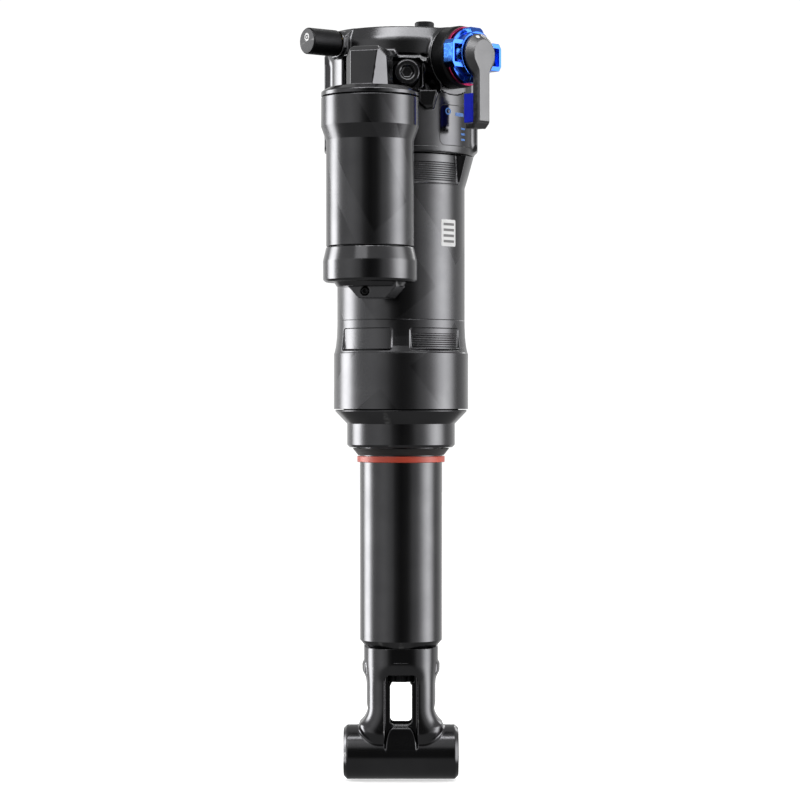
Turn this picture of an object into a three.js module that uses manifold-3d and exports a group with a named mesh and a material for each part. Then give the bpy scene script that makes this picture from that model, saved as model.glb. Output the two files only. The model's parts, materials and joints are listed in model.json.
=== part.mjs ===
// Piggyback air shock for a bicycle's rear suspension, 230 mm between mounts with a 65 mm stroke.
// Millimetres, +Z up. The origin is the middle of the trunnion axis, which runs along X.
// The front, where the reservoir stands, faces -Y. The lower eyelet's axis is also along X.

import * as THREE from 'three';
import { mergeVertices } from 'three/addons/utils/BufferGeometryUtils.js';
import Module from 'manifold-3d';

const wasm = await Module();
wasm.setup();

// ---- Driving dimensions -------------------------------------------------------------------

const GAP = 0.3; // between pieces that touch on the real object
const EYE_Z = -230;
const ROUND = 28; // segments of a large round piece
const HIDDEN_ROUND = 20; // segments of a round piece inside the shock
const SMALL_ROUND = 16; // segments of a small round piece

const HEAD_R = 26.4;
const HEAD_TOP_R = 25;
const HEAD_TOP = 25.6;
const HEAD_SHOULDER = 21.3;
const HEAD_BOTTOM = -18;
const HEAD_SPIGOT_R = 20.4;
const HEAD_SPIGOT_BOTTOM = -23;
const TRUNNION_HALF = 27;
const TRUNNION_HOLE_R = 4.4;
const TRUNNION_HOLE_DEPTH = 14;

const CAN_R = 22.7;
const CAN_BORE_R = 20.7;
const CAN_POCKET_R = 22.4;
const CAN_END_R = 23.9;
const CAN_END_TOP = -88.1;
const CAN_BOTTOM = -107.7;
const POCKET_FROM_DEG = 7.5; // where a pocket starts, from the front or the back
const POCKET_TO_DEG = 63;

const END_RING_R = 19.2;
const END_RING_BOTTOM = -121.3;
const WIPER_BOTTOM = -124.1;

const STRUT_R = 14.64;
const STRUT_BORE_R = 13.3;
const STRUT_TOP = -98.8;
const STRUT_SHOULDER = -189.9;
const STRUT_BOTTOM = -192.2;

const DAMPER_TUBE_R = 11.5;
const DAMPER_TUBE_BORE_R = 10.5;
const DAMPER_TUBE_TOP = -10;
const DAMPER_TUBE_BOTTOM = -112;
const ROD_R = 6;
const ROD_BORE_R = 2.2;
const ROD_SHOULDER = -103.6;
const ROD_TIP = -88.5;
const ROD_TIP_R = 3;

const RESERVOIR_AZIMUTH = -15.2; // degrees from the front, + towards +X
const RESERVOIR_OUT = 40.5;
const RESERVOIR_TOP_R = 16.75;
const RESERVOIR_R = 15.04;
const RESERVOIR_BORE_R = 13.6;
const RESERVOIR_TOP = -1;
const RESERVOIR_SEAM = -52;
const RESERVOIR_BOTTOM = -64.2;

const ARM_HALF_WIDTH = 7.1;
const ARM_TOP = 16.2;
const ARM_REACH = 48.5;

const COMPRESSION_AZIMUTH = 45;
const COMPRESSION_Z = 15.3;
const COMPRESSION_BOSS_R = 10.8;
const COMPRESSION_BOSS_FACE = 25.5;
const VALVE_AZIMUTH = -53;
const VALVE_Z = 20.5;
const VALVE_BOSS_FACE = 28.7;
const BOTTOM_OUT_AZIMUTH = 4;
const BOTTOM_OUT_Z = 9;
const BOTTOM_OUT_FACE = 24; // how far out the frame round the knob reaches

const NECK_R = 12.7;
const COLUMN_R = 11.8;
const EYE_R = 9.7;
const EYE_HALF = 20.5;
const WINDOW_HALF = 3.85;
const WINDOW_TOP = -204.9;
const WINDOW_BOTTOM = -219.65;
const RECESS_HALF = 5.7;
const RECESS_TOP = -201.6;
const RECESS_FLOOR = 6; // distance of both recess floors from the middle plane
const TONGUE_TOP = -219.9; // below here both recesses are shallower
const TONGUE_FACE = 9.4;

// ---- Solids --------------------------------------------------------------------------------

// A closed geometry as a solid that can be joined and cut, turned right side out if needed.
function solid(geometry) {
  const bare = geometry.clone();
  for (const name of Object.keys(bare.attributes)) {
    if (name !== 'position') bare.deleteAttribute(name);
  }
  const merged = mergeVertices(bare, 1e-4);
  const corners = merged.index.array;
  const place = merged.attributes.position;
  const faces = [];
  let volume = 0;
  const [a, b, c] = [new THREE.Vector3(), new THREE.Vector3(), new THREE.Vector3()];
  for (let i = 0; i < corners.length; i += 3) {
    const [p, q, r] = corners.slice(i, i + 3);
    if (p === q || q === r || r === p) continue;
    faces.push(p, q, r);
    a.fromBufferAttribute(place, p);
    b.fromBufferAttribute(place, q);
    c.fromBufferAttribute(place, r);
    volume += a.dot(b.cross(c));
  }
  if (volume < 0) faces.reverse();
  return new wasm.Manifold(new wasm.Mesh({
    numProp: 3,
    vertProperties: new Float32Array(place.array),
    triVerts: new Uint32Array(faces),
  }));
}

function geometryOf(body) {
  const mesh = body.getMesh();
  const geometry = new THREE.BufferGeometry();
  geometry.setAttribute('position', new THREE.BufferAttribute(new Float32Array(mesh.vertProperties), 3));
  geometry.setIndex(new THREE.BufferAttribute(new Uint32Array(mesh.triVerts), 1));
  geometry.computeVertexNormals();
  return geometry;
}

// A profile of [radius, height] points turned about +Z. An open profile is closed along the axis.
function turned(profile, segments = ROUND) {
  const points = profile.map(([radius, height]) => new THREE.Vector2(radius, height));
  const [first, last] = [points[0], points[points.length - 1]];
  if (first.x > 0 || last.x > 0) points.push(first.clone());
  return new THREE.LatheGeometry(points, segments).rotateX(Math.PI / 2);
}

function rod(radius, from, to, segments = SMALL_ROUND) {
  return turned([[0, from], [radius, from], [radius, to], [0, to]], segments);
}

function ring(inner, outer, from, to, segments = ROUND) {
  return turned([[inner, from], [outer, from], [outer, to], [inner, to]], segments);
}

// An O-ring about +Z.
function oRing(radius, thickness, height) {
  const sides = 5;
  const points = [];
  for (let i = 0; i < sides; i += 1) {
    const angle = (2 * Math.PI * i) / sides;
    points.push([radius + (thickness / 2) * Math.cos(angle), height + (thickness / 2) * Math.sin(angle)]);
  }
  return turned(points, HIDDEN_ROUND);
}

// An outline in X and Y, extruded from one height to another.
function prism(outline, from, to) {
  const shape = new THREE.Shape(outline.map(([x, y]) => new THREE.Vector2(x, y)));
  return new THREE.ExtrudeGeometry(shape, { depth: to - from, bevelEnabled: false }).translate(0, 0, from);
}

// An outline in Y and Z, extruded across X, half of it on each side of the middle plane.
function across(outline, half) {
  return prism(outline, -half, half).applyMatrix4(alongX);
}

// A rectangle's outline with its corners cut off.
function cutCorners(halfX, halfY, corner) {
  return [
    [corner - halfX, -halfY], [halfX - corner, -halfY], [halfX, corner - halfY],
    [halfX, halfY - corner], [halfX - corner, halfY], [corner - halfX, halfY],
    [-halfX, halfY - corner], [-halfX, corner - halfY],
  ];
}

// A sector of a ring about +Z, between two azimuths in degrees from -Y, + towards +X.
function sector(inner, outer, fromDeg, toDeg, from, to) {
  const start = THREE.MathUtils.degToRad(fromDeg - 90);
  const end = THREE.MathUtils.degToRad(toDeg - 90);
  const shape = new THREE.Shape();
  shape.absarc(0, 0, outer, start, end, false);
  shape.absarc(0, 0, inner, end, start, true);
  shape.closePath();
  return new THREE.ExtrudeGeometry(shape, { depth: to - from, bevelEnabled: false, curveSegments: 6 })
    .translate(0, 0, from);
}

// The frame of a piece whose axis points away from the main axis: its z runs outwards along the
// azimuth, its y runs up and its x runs sideways.
function radialFrame(azimuthDeg, height) {
  const angle = THREE.MathUtils.degToRad(azimuthDeg);
  const out = new THREE.Vector3(Math.sin(angle), -Math.cos(angle), 0);
  const up = new THREE.Vector3(0, 0, 1);
  const side = new THREE.Vector3().crossVectors(up, out);
  return new THREE.Matrix4().makeBasis(side, up, out).setPosition(0, 0, height);
}

const [UNIT_X, UNIT_Y, UNIT_Z] = [
  new THREE.Vector3(1, 0, 0), new THREE.Vector3(0, 1, 0), new THREE.Vector3(0, 0, 1),
];
const alongX = new THREE.Matrix4().makeBasis(UNIT_Y, UNIT_Z, UNIT_X);
// An outline's y runs up and its depth runs towards the front.
const upright = new THREE.Matrix4().makeBasis(UNIT_X, UNIT_Z, UNIT_Y.clone().negate());
const compressionFrame = radialFrame(COMPRESSION_AZIMUTH, COMPRESSION_Z);
const valveFrame = radialFrame(VALVE_AZIMUTH, VALVE_Z);
const bottomOutFrame = radialFrame(BOTTOM_OUT_AZIMUTH, BOTTOM_OUT_Z);
const armAngle = THREE.MathUtils.degToRad(RESERVOIR_AZIMUTH);
const reservoirFrame = new THREE.Matrix4().makeRotationZ(armAngle)
  .setPosition(RESERVOIR_OUT * Math.sin(armAngle), -RESERVOIR_OUT * Math.cos(armAngle), 0);
const eyeFrame = alongX.clone().setPosition(0, 0, EYE_Z);

// ---- Materials -----------------------------------------------------------------------------

function finish(color, roughness, metalness) {
  return new THREE.MeshStandardMaterial({ color, roughness, metalness });
}

const blackAnodised = finish(0x18181a, 0.32, 0.7);
const blackMatte = finish(0x202022, 0.55, 0.4);
const greyAnodised = finish(0x8c8c8e, 0.35, 0.8);
const blueAnodised = finish(0x2a6fd0, 0.25, 0.85);
const redAnodised = finish(0x8c2440, 0.3, 0.8);
const steel = finish(0xa8abb0, 0.22, 1);
const bareAluminium = finish(0xb8babd, 0.35, 0.95);
const brass = finish(0xb8934a, 0.3, 0.95);
const blackRubber = finish(0x121212, 0.8, 0);
const redRubber = finish(0xd8432e, 0.5, 0);
const bearingPolymer = finish(0x5b4a32, 0.6, 0);

// ---- Parts ---------------------------------------------------------------------------------

const shock = new THREE.Group();
shock.name = 'rear_shock';

function add(parent, name, body, material) {
  const geometry = body.isBufferGeometry ? geometryOf(solid(body)) : geometryOf(body);
  const mesh = new THREE.Mesh(geometry, material);
  mesh.name = name;
  parent.add(mesh);
}

function groupIn(frame) {
  const group = new THREE.Group();
  frame.decompose(group.position, group.quaternion, group.scale);
  shock.add(group);
  return group;
}

// The head: round body, flat trunnion pads, bridge arm with the reservoir's cap, adjuster bosses.
function makeHead() {
  let body = solid(turned([
    [0, HEAD_SPIGOT_BOTTOM], [HEAD_SPIGOT_R, HEAD_SPIGOT_BOTTOM], [HEAD_SPIGOT_R, HEAD_BOTTOM],
    [HEAD_R - 0.5, HEAD_BOTTOM], [HEAD_R, HEAD_BOTTOM + 2], [HEAD_R, HEAD_SHOULDER],
    [HEAD_TOP_R, HEAD_TOP], [0, HEAD_TOP],
  ]));
  const pads = across([
    [-8.5, -14.5], [-7, -16], [7, -16], [8.5, -14.5], [8.5, 14], [5, 17.5], [-5, 17.5], [-8.5, 14],
  ], TRUNNION_HALF);

  // The front is cut back under the brim, on both sides of the arm, and round the reservoir.
  const recessR = 19.5;
  const brimBottom = 16;
  const recessBottom = 3;
  body = body.subtract(solid(sector(recessR, 30, -51, 32, recessBottom, brimBottom)));
  body = body.add(solid(pads));
  const roundReservoir = rod(RESERVOIR_TOP_R + 0.8, HEAD_BOTTOM - 1, RESERVOIR_TOP + GAP, ROUND);
  body = body.subtract(solid(roundReservoir.applyMatrix4(reservoirFrame)));

  // The arm in the frame of its own azimuth: x sideways, y up, z outwards.
  const armFrame = radialFrame(RESERVOIR_AZIMUTH, 0);
  const armBottom = RESERVOIR_TOP + GAP;
  const armPlan = [
    [-ARM_HALF_WIDTH, 15], [ARM_HALF_WIDTH, 15], [ARM_HALF_WIDTH, ARM_REACH - 3.6],
    [ARM_HALF_WIDTH - 2.6, ARM_REACH], [2.6 - ARM_HALF_WIDTH, ARM_REACH],
    [-ARM_HALF_WIDTH, ARM_REACH - 3.6],
  ];
  const plan = prism(armPlan, armBottom, ARM_TOP);
  const planToArm = new THREE.Matrix4().makeBasis(UNIT_X, UNIT_Z, UNIT_Y);
  const armSide = across([
    [armBottom, 15], [armBottom, ARM_REACH], [ARM_TOP - 1.7, ARM_REACH],
    [ARM_TOP, ARM_REACH - 2.2], [ARM_TOP, 15],
  ], ARM_HALF_WIDTH);
  const armSection = prism([
    [-ARM_HALF_WIDTH, armBottom], [ARM_HALF_WIDTH, armBottom], [ARM_HALF_WIDTH, ARM_TOP - 3.5],
    [ARM_HALF_WIDTH - 2.6, ARM_TOP], [2.6 - ARM_HALF_WIDTH, ARM_TOP],
    [-ARM_HALF_WIDTH, ARM_TOP - 3.5],
  ], 15, ARM_REACH);
  const arm = solid(plan.applyMatrix4(planToArm).applyMatrix4(armFrame))
    .intersect(solid(armSide.applyMatrix4(armFrame)))
    .intersect(solid(armSection.applyMatrix4(armFrame)));
  const capSpigotR = RESERVOIR_BORE_R - GAP;
  const cap = turned([
    [0, -6], [capSpigotR, -6], [capSpigotR, armBottom], [RESERVOIR_TOP_R, armBottom],
    [RESERVOIR_TOP_R, 0.8], [14.4, 2.3], [0, 2.3],
  ]);
  const capGroove = ring(capSpigotR - 1.7, capSpigotR + 1, -4.6, -2.6);
  body = body.add(arm);
  body = body.add(solid(cap.applyMatrix4(reservoirFrame)));
  body = body.subtract(solid(capGroove.applyMatrix4(reservoirFrame)));

  // Bosses that carry the adjusters and the valve, then everything bored out of the head.
  const chin = prism([[6.3, -27.5], [12.5, -26.5], [12.5, -19], [6.3, -19]], -3.2, 2.8);
  const knobFrame = prism(cutCorners(6.6, 6.2, 2), 16, BOTTOM_OUT_FACE);
  const knobHollow = prism(cutCorners(5.6, 5.2, 1.5), 20.9, 34);
  const added = [
    chin,
    rod(COMPRESSION_BOSS_R, 14, COMPRESSION_BOSS_FACE, HIDDEN_ROUND).applyMatrix4(compressionFrame),
    rod(4.9, 16, VALVE_BOSS_FACE).applyMatrix4(valveFrame),
    knobFrame.applyMatrix4(bottomOutFrame),
  ];
  for (const piece of added) body = body.add(solid(piece));
  const bored = [
    rod(7.8, 12.7, 26, HIDDEN_ROUND).applyMatrix4(compressionFrame),
    rod(13, COMPRESSION_BOSS_FACE, 32, HIDDEN_ROUND).applyMatrix4(compressionFrame),
    rod(4, 18.7, 30).applyMatrix4(valveFrame),
    rod(4.8, 19.7, 25).applyMatrix4(bottomOutFrame),
    knobHollow.applyMatrix4(bottomOutFrame),
    rod(DAMPER_TUBE_R + GAP, HEAD_SPIGOT_BOTTOM - 1, DAMPER_TUBE_TOP + GAP, ROUND),
    rod(2.5, 18.7, 27).translate(8.3, -6, 0),
    ring(HEAD_SPIGOT_R - 2, HEAD_SPIGOT_R + 1, -21.8, -19.8),
  ];
  const holeFrom = TRUNNION_HALF - TRUNNION_HOLE_DEPTH;
  for (const sign of [-1, 1]) {
    const hole = rod(TRUNNION_HOLE_R, holeFrom, TRUNNION_HALF + 1, HIDDEN_ROUND).applyMatrix4(alongX);
    bored.push(sign > 0 ? hole : hole.rotateZ(Math.PI));
  }
  for (const piece of bored) body = body.subtract(solid(piece));
  return body;
}

// The air can flares to the head's width at its top and to its end ring's width at its bottom.
// Both flares have four pockets between ribs.
function makeAirCan() {
  const top = HEAD_BOTTOM - GAP;
  let body = solid(turned([
    [CAN_BORE_R, CAN_BOTTOM], [CAN_END_R, CAN_BOTTOM], [CAN_END_R, CAN_END_TOP], [23.4, -85],
    [22.95, -81.5], [CAN_R, -78], [CAN_R, -29], [23.9, -25.2], [25.4, -19.7], [HEAD_R - 0.6, top],
    [CAN_BORE_R, top],
  ]));
  for (const turn of [0, 180]) {
    for (const side of [-1, 1]) {
      const [a, b] = [turn + side * POCKET_FROM_DEG, turn + side * POCKET_TO_DEG].sort((p, q) => p - q);
      body = body.subtract(solid(sector(CAN_POCKET_R, 28, a, b, -28.3, top + 1)));
      body = body.subtract(solid(sector(CAN_POCKET_R, 28, a, b, -87.4, -80)));
    }
  }
  const roundReservoir = rod(RESERVOIR_TOP_R + 0.8, -32, top + 1, ROUND);
  return body.subtract(solid(roundReservoir.applyMatrix4(reservoirFrame)));
}

function addCanAndSeals() {
  add(shock, 'head', makeHead(), blackAnodised);
  add(shock, 'air_can', makeAirCan(), blackAnodised);
  add(shock, 'can_o_ring', oRing(HEAD_SPIGOT_R - 0.85, 1.6, -20.8), blackRubber);

  // The end ring screws into the can and holds the seals that run on the strut tube.
  const boreR = STRUT_R + 0.36;
  const spigotTop = -101.5;
  const spigotR = CAN_BORE_R - GAP;
  const endRing = turned([
    [17.6, END_RING_BOTTOM], [END_RING_R - 0.9, END_RING_BOTTOM], [END_RING_R, END_RING_BOTTOM + 0.9],
    [END_RING_R, -112.9], [CAN_END_R, CAN_BOTTOM - GAP], [spigotR, CAN_BOTTOM - GAP],
    [spigotR, -105.6], [18.4, -105.6], [18.4, -103.6], [spigotR, -103.6], [spigotR, spigotTop],
    [16.6, spigotTop], [16.6, -110], [boreR, -110], [boreR, -117.4], [17.6, -117.4],
  ]);
  add(shock, 'can_end_ring', endRing, blackAnodised);
  add(shock, 'end_ring_o_ring', oRing(19.55, 1.6, -104.6), blackRubber);
  add(shock, 'strut_guide_bushing', ring(boreR, 16.3, -109.7, -102, HIDDEN_ROUND), bearingPolymer);
  add(shock, 'strut_air_seal', ring(boreR, 17.3, -121.2, -117.7, HIDDEN_ROUND), blackRubber);
  add(shock, 'wiper_seal', turned([
    [boreR, WIPER_BOTTOM], [boreR + 0.3, WIPER_BOTTOM], [17.3, END_RING_BOTTOM - GAP],
    [boreR, END_RING_BOTTOM - GAP],
  ]), blackRubber);
  add(shock, 'top_out_bumper', ring(STRUT_R + 0.7, 19.5, -101.2, -98.9, HIDDEN_ROUND), blackRubber);
  add(shock, 'bleed_screw', turned([
    [0, 19], [2.2, 19], [2.2, HEAD_TOP + GAP], [3.45, HEAD_TOP + GAP], [3.45, 29.1], [3.05, 29.5],
    [1.6, 29.5], [1.6, 27.7], [0, 27.7],
  ], HIDDEN_ROUND).translate(8.3, -6, 0), blackMatte);
}

function addDamperTube() {
  const tube = ring(DAMPER_TUBE_BORE_R, DAMPER_TUBE_R, DAMPER_TUBE_BOTTOM, DAMPER_TUBE_TOP, HIDDEN_ROUND);
  add(shock, 'damper_tube', tube, bareAluminium);
  add(shock, 'damper_end_cap', turned([
    [ROD_R + GAP, -106], [ROD_R + GAP, -113], [8.7, -113], [8.7, -116], [DAMPER_TUBE_R, -116],
    [DAMPER_TUBE_R, DAMPER_TUBE_BOTTOM - GAP], [DAMPER_TUBE_BORE_R - GAP, DAMPER_TUBE_BOTTOM - GAP],
    [DAMPER_TUBE_BORE_R - GAP, -106],
  ], HIDDEN_ROUND), bareAluminium);
  add(shock, 'rod_seal', ring(ROD_R + GAP, 8.4, -115.8, -113.3, SMALL_ROUND), blackRubber);
}

// The reservoir, in a frame on its own axis whose -Y faces away from the shock's main axis.
function addReservoir() {
  const group = groupIn(reservoirFrame);
  const seam = RESERVOIR_SEAM;
  add(group, 'reservoir_body', turned([
    [RESERVOIR_BORE_R, seam], [RESERVOIR_R, seam], [RESERVOIR_R, -15.8], [RESERVOIR_TOP_R, -11],
    [RESERVOIR_TOP_R, RESERVOIR_TOP], [RESERVOIR_BORE_R, RESERVOIR_TOP],
  ]), blackAnodised);
  add(group, 'reservoir_seal', oRing(12.45, 1.5, -3.6), blackRubber);

  // The lower cap ends in a tapered block that carries the gas charge screw.
  let endCap = solid(turned([
    [0, -65.7], [11.4, -65.7], [12.4, RESERVOIR_BOTTOM], [15.2, RESERVOIR_BOTTOM], [16.1, -63.4],
    [16.1, -56.9], [RESERVOIR_R, seam - 1], [RESERVOIR_R, seam - GAP], [13.3, seam - GAP],
    [13.3, -49.5], [11.6, -49.5], [11.6, -47.8], [13.3, -47.8], [13.3, -46], [0, -46],
  ]));
  const front = 6.3;
  const block = prism([
    [-2.4, -69.8], [7.4, -69.8], [11, -65.8], [11, -65], [-5.8, -65],
  ], -5, front);
  endCap = endCap.add(solid(block.applyMatrix4(upright)));
  const screwFrame = upright.clone().setPosition(0, 0, -67.4);
  endCap = endCap.subtract(solid(rod(1.5, 2, 7, 16).applyMatrix4(screwFrame)));
  add(group, 'reservoir_end_cap', endCap, blackAnodised);
  add(group, 'end_cap_seal', oRing(12.6, 1.3, -48.65), blackRubber);
  add(group, 'gas_charge_screw', turned([
    [0, 2.3], [1.2, 2.3], [1.2, 6.5], [0.6, 6.5], [0.6, 5.7], [0, 5.7],
  ], 16).applyMatrix4(screwFrame), blackMatte);

  // The floating piston parts the oil from the gas.
  add(group, 'floating_piston', turned([
    [0, -22], [11, -22], [11, -30], [13.2, -30], [13.2, -26.3], [11.4, -26.3], [11.4, -23.9],
    [13.2, -23.9], [13.2, -20], [0, -20],
  ], HIDDEN_ROUND), bareAluminium);
  add(group, 'floating_piston_seal', oRing(12.55, 1.5, -25.1), blackRubber);
}

// The blue crown: a cup on a base ring, with a looped wing on each side and a short tab above and
// below. The loops are open along the axis.
function makeCompressionDial() {
  const base = 33;
  const floor = 34;
  const rim = 37.8;
  const halfWidth = 4.8;
  const cupR = 8.2;
  const cupBoreR = 6.8;
  let body = solid(turned([
    [2.9, base], [9.4, base], [9.6, base + 0.4], [9.6, floor], [cupR, floor + 0.3], [cupR, rim],
    [cupBoreR, rim], [cupBoreR, floor], [2.9, floor],
  ], HIDDEN_ROUND));
  const wing = [
    [cupBoreR, -halfWidth], [10.9, -halfWidth], [12.1, 1.3 - halfWidth], [12.1, halfWidth - 1.3],
    [10.9, halfWidth], [cupBoreR, halfWidth],
  ];
  const tab = [[cupBoreR, -3.2], [9, -3.2], [9.7, -2.4], [9.7, 2.4], [9, 3.2], [cupBoreR, 3.2]];
  const hole = [[8.6, -3.1], [10.6, -3.1], [10.6, 3.1], [8.6, 3.1]];
  for (const turn of [0, Math.PI]) {
    body = body.add(solid(prism(wing, base, rim).rotateZ(turn)));
    body = body.add(solid(prism(tab, base, rim).rotateZ(turn + Math.PI / 2)));
    body = body.subtract(solid(prism(hole, base - 1, rim + 1).rotateZ(turn)));
  }
  return body.subtract(solid(rod(cupBoreR, floor, rim + 1, HIDDEN_ROUND)));
}

// The lever: a coned hub, an arm that hangs down 25.5 mm and a tip that hooks back.
function makeLever() {
  let body = solid(turned([
    [0, 38.1], [7.3, 38.1], [7.3, 38.9], [5.4, 41], [0, 41],
  ]));
  const tip = -25.5;
  const arm = prism([
    [-2.9, -4], [-2.6, tip + 0.6], [-1.9, tip], [1.9, tip], [2.6, tip + 0.6], [2.9, -4], [3.6, 0],
    [-3.6, 0],
  ], 34.6, 41);
  const side = across([
    [0, 38.1], [0, 41], [tip + 2.6, 41], [tip, 38.4], [tip, 34.6], [tip + 1.6, 34.6],
    [tip + 1.6, 38.1],
  ], 5);
  body = body.add(solid(arm).intersect(solid(side)));
  return body.subtract(solid(rod(2.8, 37, 39.6, 20)));
}

function addCompressionAdjuster() {
  const group = groupIn(compressionFrame);
  const flange = COMPRESSION_BOSS_FACE + GAP;
  add(group, 'compression_housing', turned([
    [2.8, 13], [7.5, 13], [7.5, flange], [10.8, flange], [10.8, 30.4], [10, 31.2], [2.8, 31.2],
  ], HIDDEN_ROUND), blackMatte);
  add(group, 'compression_detent_ring', ring(2.8, 10.3, 31.5, 32.7, HIDDEN_ROUND), redAnodised);
  add(group, 'compression_dial', makeCompressionDial(), blueAnodised);
  add(group, 'lockout_lever', makeLever(), greyAnodised);
  add(group, 'compression_spindle', rod(2.5, 14, 39.3, 20), steel);
  add(group, 'lever_insert', prism([[-2.1, -23.6], [2.1, -23.6], [2.1, -14.6], [-2.1, -13.2]], 33, 37.8),
    blueAnodised);
}

function addAirValve() {
  const group = groupIn(valveFrame);
  const capBase = VALVE_BOSS_FACE + GAP;
  add(group, 'valve_body', turned([
    [0, 19], [3.7, 19], [3.7, 38], [2.3, 38], [2.3, 28], [0, 28],
  ], HIDDEN_ROUND), brass);
  add(group, 'valve_core', ring(1, 2, 28.3, 37.5, 20), brass);
  add(group, 'valve_pin', rod(0.65, 30.5, 37.9, 12), steel);
  add(group, 'valve_cap', turned([
    [4, capBase], [4.4, capBase], [4.6, capBase + 0.4], [4.6, 40.6], [4.3, 41], [0, 41], [0, 38.6],
    [4, 38.6],
  ], HIDDEN_ROUND), blackMatte);
}

function addBottomOutAdjuster() {
  const group = groupIn(bottomOutFrame);
  add(group, 'bottom_out_sleeve', ring(2.9, 4.5, 20, 29.5, SMALL_ROUND), blackMatte);
  add(group, 'bottom_out_knob', turned([
    [0, 20.5], [2.6, 20.5], [2.6, 29.8], [4.4, 29.8], [4.4, 30.9], [4, 31.4], [2.2, 31.4],
    [2.2, 29.4], [0, 29.4],
  ], HIDDEN_ROUND), blackAnodised);
}

function addStrut() {
  add(shock, 'strut_tube', turned([
    [11, STRUT_BOTTOM], [NECK_R, STRUT_BOTTOM], [STRUT_R, STRUT_SHOULDER], [STRUT_R, STRUT_TOP],
    [STRUT_BORE_R, STRUT_TOP], [STRUT_BORE_R, -185.2], [11, -185.2],
  ]), blackAnodised);
  const pistonBottom = STRUT_TOP + GAP;
  add(shock, 'air_piston', turned([
    [11.9, -106], [13, -106], [13, pistonBottom], [20.2, pistonBottom], [20.2, -95.9],
    [18.2, -95.9], [18.2, -93.7], [20.2, -93.7], [20.2, -91.7], [19, -91.7], [19, -89.5],
    [20.2, -89.5], [20.2, -88.3], [11.9, -88.3], [11.9, -92.6], [14.1, -92.6], [14.1, -95],
    [11.9, -95],
  ], HIDDEN_ROUND), bareAluminium);
  add(shock, 'air_piston_seal', oRing(19.4, 1.6, -94.8), blackRubber);
  add(shock, 'air_piston_guide', ring(19.3, 20.4, -91.4, -89.8, HIDDEN_ROUND), bearingPolymer);
  add(shock, 'air_piston_inner_seal', oRing(12.95, 1.6, -93.8), blackRubber);
  add(shock, 'sag_ring', ring(STRUT_R + GAP, 15.6, -126.6, -124.4), redRubber);
}

function addDamperRod() {
  add(shock, 'damper_rod', turned([
    [ROD_BORE_R, -194], [ROD_R, -194], [ROD_R, ROD_SHOULDER], [ROD_TIP_R, ROD_SHOULDER],
    [ROD_TIP_R, ROD_TIP], [ROD_BORE_R, ROD_TIP],
  ], SMALL_ROUND), steel);
  const boreR = ROD_TIP_R + GAP;
  add(shock, 'compression_shims', ring(boreR, 8.6, -103.3, -102.3, SMALL_ROUND), steel);
  add(shock, 'main_piston', turned([
    [boreR, -102], [10, -102], [10, -99.5], [9, -99.5], [9, -96.5], [10, -96.5], [10, -94],
    [boreR, -94],
  ], HIDDEN_ROUND), brass);
  add(shock, 'main_piston_ring', ring(9.3, 10.2, -99.2, -96.8, HIDDEN_ROUND), bearingPolymer);
  add(shock, 'rebound_shims', ring(boreR, 8.6, -93.7, -92.7, SMALL_ROUND), steel);
  const nut = solid(rod(5.4, -92.4, -88.9, 6)).subtract(solid(rod(boreR, -93, -88)));
  add(shock, 'piston_nut', nut, steel);
  add(shock, 'bottom_out_bumper', ring(ROD_R + 0.4, 12.6, -184.9, -181.3, HIDDEN_ROUND), blackRubber);
}

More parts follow.
